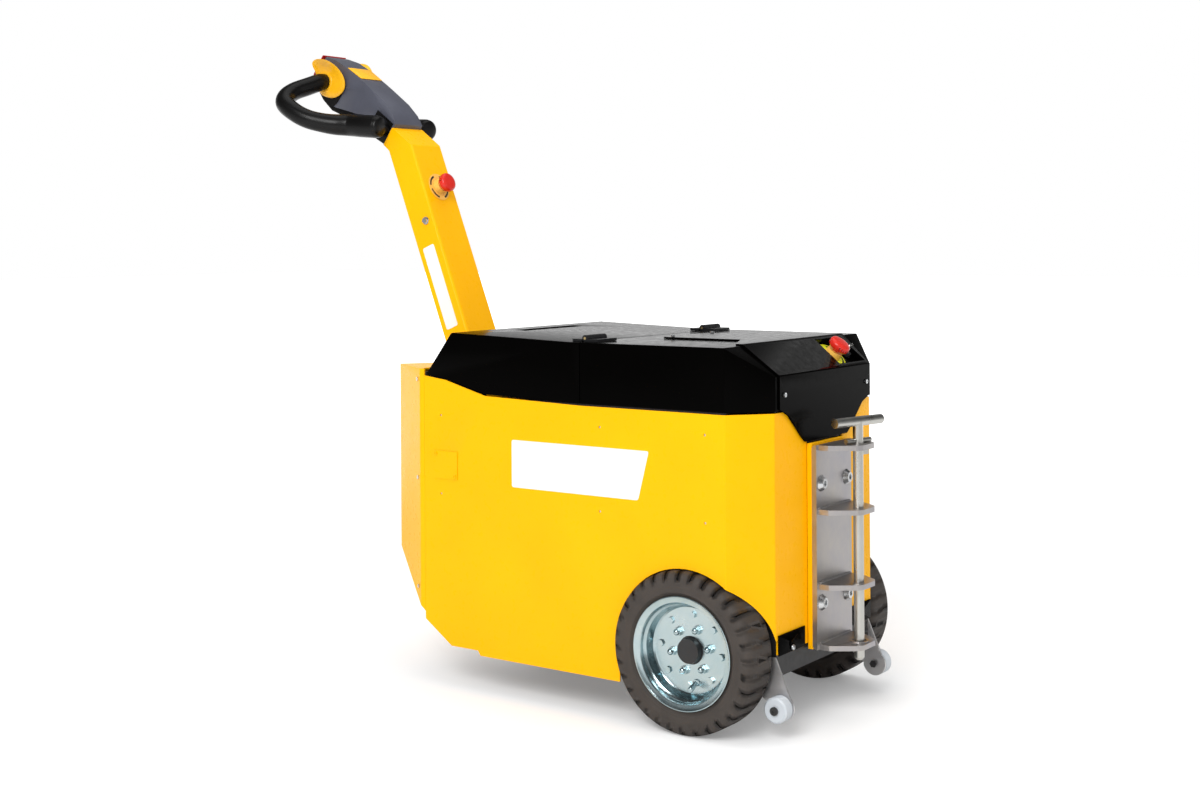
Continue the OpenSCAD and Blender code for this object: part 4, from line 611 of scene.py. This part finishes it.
# Emergency stop heads: a domed mushroom with grip notches round its side.
stop = {
    "radius": 0.020,
    "notches": 24,
    "notchDepth": 0.0007,
    "profile": [
        (0.0, 0.010), (0.0060, 0.010), (0.0060, 0.0178), (0.0160, 0.0180), (0.0178, 0.0186),
        (0.0192, 0.0200), (0.0199, 0.0216), (0.0200, 0.0232), (0.0200, 0.0262), (0.0199, 0.0276),
        (0.0192, 0.0300), (0.0178, 0.0316), (0.0150, 0.0328), (0.0110, 0.0333), (0.0, 0.0334),
    ],
    "band": (0.0220, 0.0272),
    "bandInner": 0.0185,
    "facesPerNotch": 4,
    # On the nose: across it and into its slope. On the arm: out of its front, share up it
    "nosePlace": (0.096, -0.0087),
    "armPlace": (0.0313, 0.755),
}


def mushroom(seatFrame, name, body, node):
    steps = stop["notches"] * stop["facesPerNotch"]
    bm = spun(stop["profile"], steps)
    bmesh.ops.recalc_face_normals(bm, faces=bm.faces[:])
    low, high = stop["band"]
    step = 2 * math.pi / steps
    sunk = []
    for face in bm.faces:
        middle = face.calc_center_median()
        if low < middle.z < high and math.hypot(middle.x, middle.y) > stop["bandInner"]:
            number = int((math.atan2(middle.y, middle.x) + math.pi) / step)
            if number % stop["facesPerNotch"] == 0:
                sunk.append(face)
    cut = bmesh.ops.extrude_face_region(bm, geom=sunk)["geom"]
    for vert in (part for part in cut if isinstance(part, bmesh.types.BMVert)):
        vert.co.x *= 1 - stop["notchDepth"] / stop["radius"]
        vert.co.y *= 1 - stop["notchDepth"] / stop["radius"]
    bm.transform(seatFrame)
    return finished(bm, name, body, finishes["stop_red"], (node,), 40.0)


noseSeat = noseFrame @ moved(0, *stop["nosePlace"])
armSeat = (tillerFrame @ moved(stop["armPlace"][0], 0, place["armLength"] * stop["armPlace"][1])
           @ turned("Y", 90))
mushroom(noseSeat, "noseStopHead", "nose_stop", "front_stop_head")
mushroom(armSeat, "armStopHead", "tiller_stop", "arm_stop_head")

# Plain ring marks on the two yellow stop labels.
ringMarks = {"inner": 0.0225, "outer": 0.0262, "thick": 0.0002, "lift": 0.0012, "steps": 12,
             "arcs": ((20, 60), (100, 60), (200, 60), (280, 60))}


def ringMark(seatFrame, name, body):
    whole = bmesh.new()
    for start, sweep in ringMarks["arcs"]:
        low = ringMarks["lift"] - ringMarks["thick"]
        high = ringMarks["lift"] + ringMarks["thick"]
        bm = spun([(ringMarks["inner"], low), (ringMarks["outer"], low),
                   (ringMarks["outer"], high), (ringMarks["inner"], high),
                   (ringMarks["inner"], low)], ringMarks["steps"], sweep)
        bmesh.ops.holes_fill(bm, edges=[e for e in bm.edges if e.is_boundary], sides=8)
        bm.transform(turned("Z", start))
        joined(whole, bm)
    whole.transform(seatFrame)
    return finished(whole, name, body, markBlack)


ringMark(noseSeat, "noseRingMark", "chassis")
ringMark(armSeat, "armRingMark", "tiller")
print("stops done")

# Bare label plates on the side panels and the arm.
labels = {
    "thick": 0.0003,
    "corner": 0.004,
    "segments": 5,
    "panel": [(-0.376, 0.391), (-0.095, 0.391), (-0.072, 0.478), (-0.376, 0.478)],
    "arm": [(-0.0195, 0.363), (0.012, 0.363), (0.012, 0.542), (-0.0195, 0.542)],
}


def label(corners, seat, name, body, matrix):
    bm = slab(corners, seat, -labels["thick"], labels["corner"], labels["segments"])
    bm.transform(matrix)
    return finished(bm, name, body, labelWhite)


for side, matrix in (("near", Matrix.Identity(4)), ("far", mirrorY)):
    label(labels["panel"], place["nearSide"], side + "PanelLabel", "chassis",
          matrix @ axleFrame)
    label(labels["arm"], -place["armHalf"], side + "ArmLabel", "tiller",
          matrix @ tillerFrame)

# A plain plate over the far side panel's opening, a guess: no photograph shows that side.
farCover = {"margin": 0.004, "thick": 0.0012, "round": 0.003, "segments": 4}
coverLow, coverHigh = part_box("access_cover")
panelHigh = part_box("far_side_panel")[1]


def sideCover():
    low, high = coverLow[0] - farCover["margin"], coverHigh[0] + farCover["margin"]
    foot, top = coverLow[2] - farCover["margin"], coverHigh[2] + farCover["margin"]
    bm = slab(((low, foot), (high, foot), (high, top), (low, top)), 0, farCover["thick"],
              farCover["round"], farCover["segments"])
    bm.transform(moved(0, panelHigh[1], 0))
    return finished(bm, "farAccessCover", "chassis", finishes["yellow_paint"])


sideCover()

# Weld beads where the hitch flanges meet their back plate.
weld = {
    "ahead": 0.1588,
    "half": 0.057,
    "radius": 0.0034,
    "ripples": 44,
    "tops": (0.138, 0.243, 0.373),
    "sides": 10,
    "sink": 0.001,
    "swell": 1.16,
}


def bead(start, length, name):
    bm = bmesh.new()
    ring = bmesh.ops.create_circle(bm, cap_ends=True, segments=weld["sides"],
                                   radius=weld["radius"], matrix=turned("X", 90))["verts"]
    bmesh.ops.translate(bm, vec=start, verts=ring)
    edges = bm.edges[:]
    step = length / weld["ripples"]
    for i in range(weld["ripples"]):
        grown = bmesh.ops.extrude_edge_only(bm, edges=edges)["geom"]
        ring = [part for part in grown if isinstance(part, bmesh.types.BMVert)]
        edges = [part for part in grown if isinstance(part, bmesh.types.BMEdge)]
        centre = sum((v.co for v in ring), Vector()) / len(ring)
        swell = weld["swell"] if i % 2 else 1 / weld["swell"]
        bmesh.ops.scale(bm, vec=(swell, 1, swell), space=moved(*-centre), verts=ring)
        bmesh.ops.translate(bm, vec=(0, step, 0), verts=ring)
    bmesh.ops.edgeloop_fill(bm, edges=edges)
    return finished(bm, name, "chassis", finishes["hitch_zinc"], (), 60.0)


for number, top in enumerate(weld["tops"]):
    bead(Vector((place["axleX"] + weld["ahead"] - weld["sink"], -weld["half"], top)),
         2 * weld["half"], "flangeWeld" + str(number))

# A small button-head screw in each corner guard's flap, low at the front.
guardScrew = {
    "out": 0.1285,
    "height": 0.1455,
    "radius": 0.0048,
    "tall": 0.0032,
    "sunk": 0.0004,
    "socket": 0.002,
    "deep": 0.0018,
    "pointShare": 1.3,
    "steps": 24,
    # Shares of the radius and of the height, from its rim to its crown
    "crownShares": ((1.0, 0.3), (0.9, 0.65), (0.7, 0.9), (0.5, 1.0)),
}


def flapScrew(side, name):
    radius, tall = guardScrew["radius"], guardScrew["tall"]
    socket, deep = guardScrew["socket"], guardScrew["deep"]
    crown = [(radius * a, tall * b) for a, b in guardScrew["crownShares"]]
    bm = spun([(0.0, -guardScrew["sunk"]), (radius, -guardScrew["sunk"]), *crown, (socket, tall),
               (socket, tall - deep), (0.0, tall - deep * guardScrew["pointShare"])],
              guardScrew["steps"])
    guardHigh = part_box("corner_guards")[1]
    bm.transform(moved(guardHigh[0], side * guardScrew["out"], guardScrew["height"])
                 @ turned("Y", 90))
    return finished(bm, name, "chassis", finishes["fastener_zinc"])


flapScrew(-1, "nearFlapScrew")
flapScrew(1, "farFlapScrew")
print("labels and welds done")

# Grip loops: one rubber tube through the head that swells into a boss beside its base.
grip = {
    "radius": 0.0175,
    "barX": -0.02852,
    "barZ": 0.22576,
    "leaveY": 0.04875,
    "elbow": 0.028,
    "droop": 26.0,
    "sides": 40,
    "between": 8,
    "barStops": (0.0, 0.02),
    "beforeElbow": 0.002,
    "elbowSteps": 8,
    "elbowSwell": 0.0014,
    "crease": 60.0,
    # Out in the drooping plane, along the head, off the plane, radius
    "bend": [
        (0.000, 0.2258, 0.000, 0.0189), (0.030, 0.2260, 0.000, 0.0193),
        (0.062, 0.2265, 0.000, 0.0193), (0.089, 0.2180, 0.000, 0.0195),
        (0.104, 0.1983, 0.000, 0.0198), (0.102, 0.1630, 0.000, 0.0198),
        (0.092, 0.1343, 0.000, 0.0200), (0.074, 0.1101, 0.000, 0.0205),
        (0.054, 0.0893, 0.001, 0.0220), (0.0305, 0.0706, 0.003, 0.0233),
    ],
    # The boss: out of the head's top, away from its middle, along it, radius
    "boss": [
        (-0.0260, 0.0840, 0.0430, 0.0238), (-0.0100, 0.0780, 0.0165, 0.0240),
        (-0.0070, 0.0769, 0.0115, 0.0235), (-0.0041, 0.0758, 0.0065, 0.0218),
        (-0.0021, 0.0751, 0.0031, 0.0180), (-0.0012, 0.0748, 0.0016, 0.0120),
    ],
    "stub": [(-0.0160, 0.0400, 0.0260, 0.0190), (-0.0140, 0.0560, 0.0230, 0.0195),
             (-0.0120, 0.0720, 0.0200, 0.0200)],
}


# A smooth run through rows of place and radius, by Catmull and Rom's rule.
def smoothRun(rows, between):
    run = []
    for i in range(len(rows) - 1):
        before, first = rows[max(i - 1, 0)], rows[i]
        second, after = rows[i + 1], rows[min(i + 2, len(rows) - 1)]
        for step in range(between):
            t = step / between
            run.append([0.5 * (2 * b + (c - a) * t + (2 * a - 5 * b + 4 * c - d) * t * t
                               + (3 * b - a - 3 * c + d) * t ** 3)
                        for a, b, c, d in zip(before, first, second, after)])
    return run + [list(rows[-1])]


# The far half of the loops: along the bar, round the elbow, down the bend to the boss.
def gripPath():
    droop = math.radians(grip["droop"])
    elbow = grip["elbow"]
    start = Vector((grip["barX"] - elbow * (1 - math.cos(droop)),
                    grip["leaveY"] + elbow * math.sin(droop), 0))
    outward = Vector((-math.sin(droop), math.cos(droop), 0))
    upward = Vector((math.cos(droop), math.sin(droop), 0))
    path = [(Vector((grip["barX"], y, grip["barZ"])), grip["radius"])
            for y in (*grip["barStops"], grip["leaveY"] - grip["beforeElbow"])]
    for i in range(1, grip["elbowSteps"]):
        turn = droop * i / grip["elbowSteps"]
        path.append((Vector((grip["barX"] - elbow * (1 - math.cos(turn)),
                             grip["leaveY"] + elbow * math.sin(turn), grip["barZ"])),
                     grip["radius"] + grip["elbowSwell"] * i / grip["elbowSteps"]))
    rows = []
    for across, along, off, wide in grip["bend"]:
        rows.append((*(start + outward * across + upward * off + Vector((0, 0, along))), wide))
    for row in smoothRun(rows + grip["boss"], grip["between"]):
        path.append((Vector(row[:3]), row[3]))
    return path


# A round tube through a path of places and radii, closed at both ends.
def swept(path, sides):
    bm = bmesh.new()
    spots = [spot for spot, wide in path]
    normal = Vector((1, 0, 0))
    rings = []
    for i, (spot, wide) in enumerate(path):
        ahead = (spots[min(i + 1, len(spots) - 1)] - spots[max(i - 1, 0)]).normalized()
        normal = (normal - ahead * normal.dot(ahead)).normalized()
        side = ahead.cross(normal)
        rings.append([bm.verts.new(spot + wide * (math.cos(2 * math.pi * k / sides) * normal
                                                  + math.sin(2 * math.pi * k / sides) * side))
                      for k in range(sides)])
    for first, second in zip(rings, rings[1:]):
        for k in range(sides):
            n = (k + 1) % sides
            bm.faces.new((first[k], first[n], second[n], second[k]))
    bm.faces.new(rings[0])
    bm.faces.new(rings[-1])
    return bm


half = gripPath()
near = [(Vector((spot.x, -spot.y, spot.z)), wide) for spot, wide in half[:0:-1]]
loops = swept(near + half, grip["sides"])
for matrix in (Matrix.Identity(4), mirrorY):
    stub = swept([(Vector(row[:3]), row[3]) for row in grip["stub"]], grip["sides"])
    stub.transform(matrix)
    joined(loops, stub)
loops.transform(headFrame)
finished(loops, "gripLoops", "tiller", finishes["grip_rubber"], ("handlebar",),
         grip["crease"])

# Thumb lever: a turned sleeve inside the head and a smooth wing on each side of it.
thumb = {
    "sleeve": 0.02065,
    "bore": 0.01756,
    "in": 0.03675,
    "out": 0.04575,
    "collar": 0.0235,
    "collarRise": 0.0012,
    "rounding": 3,
    "rings": 7,
    "thick": 0.0052,
    "flare": 1.8,
    "edgeShare": 0.35,
    "collarEdge": 0.002,
    "steps": 64,
    # Shares of the grip radius out of the head and along it, and how far out each stands
    "outline": [
        (1.6, 2.35, 0.064), (2.25, 1.75, 0.066), (2.95, 0.4, 0.065), (2.95, -1.2, 0.057),
        (2.25, -2.6, 0.047), (0.9, -3.3, 0.042), (-0.8, -2.5, 0.042), (-1.7, -0.8, 0.042),
        (-1.6, 0.6, 0.043), (0.1, 1.5, 0.050), (1.0, 2.45, 0.062),
    ],
}


def cornersCut(points, times):
    for _ in range(times):
        points = [spot for a, b in zip(points, points[1:] + points[:1])
                  for spot in (a.lerp(b, 0.25), a.lerp(b, 0.75))]
    return points


def thumbWing(side):
    reach = grip["radius"]
    outline = cornersCut([Vector((x * reach, y, z * reach)) for x, z, y in thumb["outline"]],
                         thumb["rounding"])
    bm = bmesh.new()
    skins = []
    for sink in (0.0, thumb["thick"]):
        rings = []
        for k in range(thumb["rings"] + 1):
            share = k / thumb["rings"]
            ring = []
            for spot in outline:
                away = math.hypot(spot.x, spot.z)
                inner = Vector((spot.x, 0, spot.z)) * (thumb["sleeve"] / away)
                level = thumb["out"] + (spot.y - thumb["out"]) * share ** thumb["flare"]
                corner = inner.lerp(Vector((spot.x, 0, spot.z)), share)
                edge = thumb["edgeShare"] * thumb["thick"] if k == thumb["rings"] else 0.0
                corner.y = max(thumb["in"], level - sink) + (edge if sink else -edge)
                ring.append(bm.verts.new(corner))
            rings.append(ring)
        skins.append(rings)
    count = len(outline)
    for rings in skins:
        for first, second in zip(rings, rings[1:]):
            for k in range(count):
                n = (k + 1) % count
                bm.faces.new((first[k], first[n], second[n], second[k]))
    for first, second in ((skins[0][0], skins[1][0]), (skins[0][-1], skins[1][-1])):
        for k in range(count):
            n = (k + 1) % count
            bm.faces.new((first[k], first[n], second[n], second[k]))
    bm.transform(moved(grip["barX"], 0, grip["barZ"]))
    if side < 0:
        bm.transform(mirrorY)
    return bm


def thumbSleeve():
    end, edge = thumb["out"] + thumb["collarRise"], thumb["collarEdge"]
    half = [(thumb["sleeve"], thumb["in"]), (thumb["collar"], thumb["in"]),
            (thumb["collar"], end - edge), (thumb["collar"] - edge, end), (thumb["bore"], end)]
    bm = spun([(radius, -across) for radius, across in half[::-1]] + half
              + [(thumb["bore"], -end)], thumb["steps"])
    bm.transform(moved(grip["barX"], 0, grip["barZ"]) @ turned("X", 90))
    return bm


# Black cheeks beside the head, where the lower housing reaches up behind each wing.
cheek = {
    "from": 0.0345,
    "to": 0.0361,
    "outline": [(-0.012, 0.182), (-0.024, 0.173), (-0.049, 0.1755), (-0.0665, 0.183),
                (-0.066, 0.205), (-0.058, 0.225), (-0.030, 0.245), (-0.012, 0.215)],
}
for side, matrix in (("near", mirrorY), ("far", Matrix.Identity(4))):
    bm = slab(cheek["outline"], cheek["from"], cheek["to"] - cheek["from"])
    bm.transform(headFrame @ matrix)
    finished(bm, side + "Cheek", "tiller", finishes["head_black"])

whole = bmesh.new()
for part in (thumbWing(1), thumbWing(-1), thumbSleeve()):
    bmesh.ops.recalc_face_normals(part, faces=part.faces[:])
    joined(whole, part)
whole.transform(headFrame)
finished(whole, "thumbWings", "thumb_control", finishes["lever_yellow"],
         ("thumb_lever",), 40.0, flip=False)
print("grips and thumb lever done")

# Rims: a spun disc in a barrel that widens in steps to a rolled lip.
rim = {
    "steps": 96,
    "section": [
        (0.0245, -0.0033), (0.0245, 0.0033), (0.0700, 0.0033), (0.0738, 0.0040),
        (0.0762, 0.0062), (0.0790, 0.0150), (0.0806, 0.0205), (0.0838, 0.0228),
        (0.0850, 0.0245), (0.0856, 0.0310), (0.0868, 0.0328), (0.0890, 0.0336),
        (0.0925, 0.0340), (0.0945, 0.0352), (0.0962, 0.0360), (0.0976, 0.0357),
        (0.0980, 0.0345), (0.0976, 0.0333), (0.0962, 0.0330), (0.0882, 0.0328),
        (0.0882, -0.0328), (0.0962, -0.0330), (0.0976, -0.0333), (0.0980, -0.0345),
        (0.0976, -0.0357), (0.0962, -0.0360), (0.0925, -0.0345), (0.0868, -0.0328),
        (0.0850, -0.0245), (0.0790, -0.0150), (0.0762, -0.0062), (0.0700, -0.0033),
        (0.0245, -0.0033),
    ],
}


def pressedRim(wheelFrame, name, body, node):
    bm = spun(rim["section"], rim["steps"])
    bm.transform(wheelFrame)
    return finished(bm, name, body, finishes["rim_zinc"], (node,), 28.0)


pressedRim(nearWheelFrame, "nearPressedRim", "near_wheel", "near_rim")
pressedRim(farWheelFrame, "farPressedRim", "far_wheel", "far_rim")
print("rims done")

# Valve stem on each rim.
valve = {
    "at": 0.055,
    "radius": 0.0042,
    "length": 0.026,
    "turn": -78.0,
    "lean": 18.0,
    "seat": 0.0033,
    "footTall": 0.002,
    "neckTall": 0.003,
    "chamfer": 0.001,
    "steps": 20,
    "footShare": 1.5,
    "capShare": 1.15,
    "topShare": 0.9,
    "stemShares": (0.55, 0.56),
}


def valveStem(wheelFrame, name, body):
    tall, radius = valve["length"], valve["radius"]
    foot, cap = radius * valve["footShare"], radius * valve["capShare"]
    stemEnd, capStart = valve["stemShares"]
    bm = spun([(0.0, 0.0), (foot, 0.0), (foot, valve["footTall"]), (radius, valve["neckTall"]),
               (radius, tall * stemEnd), (cap, tall * capStart), (cap, tall - valve["chamfer"]),
               (radius * valve["topShare"], tall), (0.0, tall)], valve["steps"])
    bm.transform(wheelFrame @ turned("Z", valve["turn"]) @ moved(valve["at"], 0, valve["seat"])
                 @ turned("Y", valve["lean"]))
    return finished(bm, name, body, finishes["rim_zinc"])


valveStem(nearWheelFrame, "nearValve", "near_wheel")
valveStem(farWheelFrame, "farValve", "far_wheel")
print("valves done")

# Stage: a pale floor that keeps the shadow, soft lamps and the camera.
stage = {
    "floorSize": 30.0,
    "floorTone": 0.78,
    "floorLift": 0.2,
    "floorDrift": 1.02,
    "floorCloud": 0.6,
    "floorRough": 0.8,
    "farLift": 1.0,
    "farFrom": 1.6,
    "farTo": 5.0,
    "lowSky": 0.55,
    "highSky": 0.95,
    "skyEdge": (0.0, 0.7),
    # What mirrors see: a white wall behind, a dull one in front, a dim ceiling
    "wallWay": (-0.584, 0.812, 0.0),
    "bandEdge": (0.12, 0.5),
    "ceiling": 0.2,
    "rearEdge": (0.4, 0.85),
    "nearWall": 0.25,
    "rearWall": 1.0,
    "wallFrom": 1.2,
    "wallTo": 3.0,
    "lamps": [
        # name, place, aim, width, height, power
        ("keyLamp", (1.2, -3.6, 3.0), (0.0, -0.1, 0.5), 2.0, 2.0, 122.0),
        ("frontLamp", (3.6, 0.2, 2.4), (0.3, 0.0, 0.5), 1.6, 2.2, 5.0),
        ("topLamp", (0.0, 0.4, 4.2), (0.0, 0.0, 0.5), 3.0, 3.0, 30.0),
    ],
}


# One for camera rays and for the wanted kinds of ray, nought for the rest.
def onlySeen(tree, wanted):
    path = tree.nodes.new("ShaderNodeLightPath")
    top = path.outputs["Is Camera Ray"]
    for key in wanted:
        link = tree.nodes.new("ShaderNodeMath")
        link.operation = "MAXIMUM"
        tree.links.new(top, link.inputs[0])
        tree.links.new(path.outputs[key], link.inputs[1])
        top = link.outputs[0]
    return top


def pouredFloor():
    bm = bmesh.new()
    bmesh.ops.create_grid(bm, x_segments=1, y_segments=1, size=stage["floorSize"])
    mesh = bpy.data.meshes.new("paleFloor")
    bm.to_mesh(mesh)
    bm.free()
    floor = bpy.data.objects.new("paleFloor", mesh)
    bpy.context.scene.collection.objects.link(floor)
    f = Finish("floorPaint")
    seen = Wire(f, onlySeen(f.tree, ("Is Transmission Ray",)))
    mirrors = f.node("ShaderNodeLightPath", {}, {})["Is Glossy Ray"]
    axes = f.node("ShaderNodeSeparateXYZ", {}, {"Vector": f.spot})
    behind = f.node("ShaderNodeVectorMath", {"operation": "DOT_PRODUCT"},
                    {0: f.spot, 1: stage["wallWay"]})["Value"]
    wall = f.node("ShaderNodeMapRange", {"interpolation_type": "SMOOTHSTEP"}, {
        "Value": behind, "From Min": stage["wallFrom"], "From Max": stage["wallTo"]})[0]
    reach = (axes["X"] * axes["X"] + axes["Y"] * axes["Y"]) ** 0.5
    away = f.node("ShaderNodeMapRange", {"interpolation_type": "SMOOTHSTEP"}, {
        "Value": reach, "From Min": stage["farFrom"], "From Max": stage["farTo"],
        "To Min": stage["floorLift"], "To Max": stage["farLift"]})[0]
    lift = seen * away + mirrors * wall * stage["farLift"]
    cloud = f.noise(stage["floorCloud"], 2.0)
    tone = (stage["floorTone"],) * 3
    f.dress({
        "Base Color": f.tint(cloud, tone, shade(tone, stage["floorDrift"])),
        "Roughness": stage["floorRough"],
        "Specular IOR Level": 0.1,
        "Emission Color": (1.0, 1.0, 1.0, 1.0),
        "Emission Strength": lift,
    })
    mesh.materials.append(f.material)


def skyDome():
    world = bpy.data.worlds.new("paleSky")
    bpy.context.scene.world = world
    world.use_nodes = True
    tree = world.node_tree
    tree.nodes.clear()

    def ranged(value, inRange, outRange):
        made = tree.nodes.new("ShaderNodeMapRange")
        made.interpolation_type = "SMOOTHSTEP"
        tree.links.new(value, made.inputs["Value"])
        for key, number in zip(("From Min", "From Max", "To Min", "To Max"), inRange + outRange):
            made.inputs[key].default_value = number
        return made.outputs[0]

    def pair(operation, first, second):
        made = tree.nodes.new("ShaderNodeMath")
        made.operation = operation
        tree.links.new(first, made.inputs[0])
        tree.links.new(second, made.inputs[1])
        return made.outputs[0]

    def background(strength):
        made = tree.nodes.new("ShaderNodeBackground")
        made.inputs["Color"].default_value = (1, 1, 1, 1)
        tree.links.new(strength, made.inputs["Strength"])
        return made.outputs[0]

    way = tree.nodes.new("ShaderNodeTexCoord")
    axes = tree.nodes.new("ShaderNodeSeparateXYZ")
    tree.links.new(way.outputs["Generated"], axes.inputs[0])
    rise = axes.outputs["Z"]
    facing = tree.nodes.new("ShaderNodeVectorMath")
    facing.operation = "DOT_PRODUCT"
    tree.links.new(way.outputs["Generated"], facing.inputs[0])
    facing.inputs[1].default_value = stage["wallWay"]
    lit = ranged(rise, stage["skyEdge"], (stage["lowSky"], stage["highSky"]))
    band = ranged(rise, stage["bandEdge"], (1.0, stage["ceiling"]))
    rear = ranged(facing.outputs["Value"], stage["rearEdge"],
                  (stage["nearWall"], stage["rearWall"]))
    mirrored = pair("MULTIPLY", band, rear)
    shown = pair("MAXIMUM", onlySeen(tree, ("Is Transmission Ray",)), mirrored)
    mix = tree.nodes.new("ShaderNodeMixShader")
    tree.links.new(onlySeen(tree, ("Is Glossy Ray", "Is Transmission Ray")), mix.inputs[0])
    tree.links.new(background(lit), mix.inputs[1])
    tree.links.new(background(shown), mix.inputs[2])
    out = tree.nodes.new("ShaderNodeOutputWorld")
    tree.links.new(mix.outputs[0], out.inputs["Surface"])


def lamp(name, spot, aim, width, height, power):
    data = bpy.data.lights.new(name, "AREA")
    data.shape = "RECTANGLE"
    data.size = width
    data.size_y = height
    data.energy = power
    holder = bpy.data.objects.new(name, data)
    bpy.context.scene.collection.objects.link(holder)
    holder.location = spot
    holder.rotation_euler = (Vector(aim) - Vector(spot)).to_track_quat("-Z", "Y").to_euler()


pouredFloor()
skyDome()
for row in stage["lamps"]:
    lamp(*row)

# The photograph's own view
view = {
    "ahead": 1.51405,
    "across": -2.58992,
    "height": 0.84659,
    "azimuth": 35.72,
    "down": 0.08,
    "roll": 0.38,
    "lens": 49.05,
    "shiftY": -0.1324,
    "sensor": 36.0,
    "reach": 200.0,
}


def viewCamera():
    azimuth, down = math.radians(view["azimuth"]), math.radians(view["down"])
    level = Vector((-math.sin(azimuth), math.cos(azimuth), 0))
    right = Vector((math.cos(azimuth), math.sin(azimuth), 0))
    ahead = level * math.cos(down) - Vector((0, 0, 1)) * math.sin(down)
    up = level * math.sin(down) + Vector((0, 0, 1)) * math.cos(down)
    roll = math.radians(view["roll"])
    across = right * math.cos(roll) - up * math.sin(roll)
    above = right * math.sin(roll) + up * math.cos(roll)
    data = bpy.data.cameras.new("photoView")
    data.lens = view["lens"]
    data.sensor_width = view["sensor"]
    data.shift_y = view["shiftY"]
    data.clip_end = view["reach"]
    camera = bpy.data.objects.new("photoView", data)
    bpy.context.scene.collection.objects.link(camera)
    turn = Matrix((across, above, -ahead)).transposed().to_4x4()
    camera.matrix_world = moved(place["axleX"] + view["ahead"], view["across"],
                                view["height"]) @ turn
    bpy.context.scene.camera = camera


viewCamera()
bpy.context.scene.view_settings.view_transform = "Standard"
print("stage done")
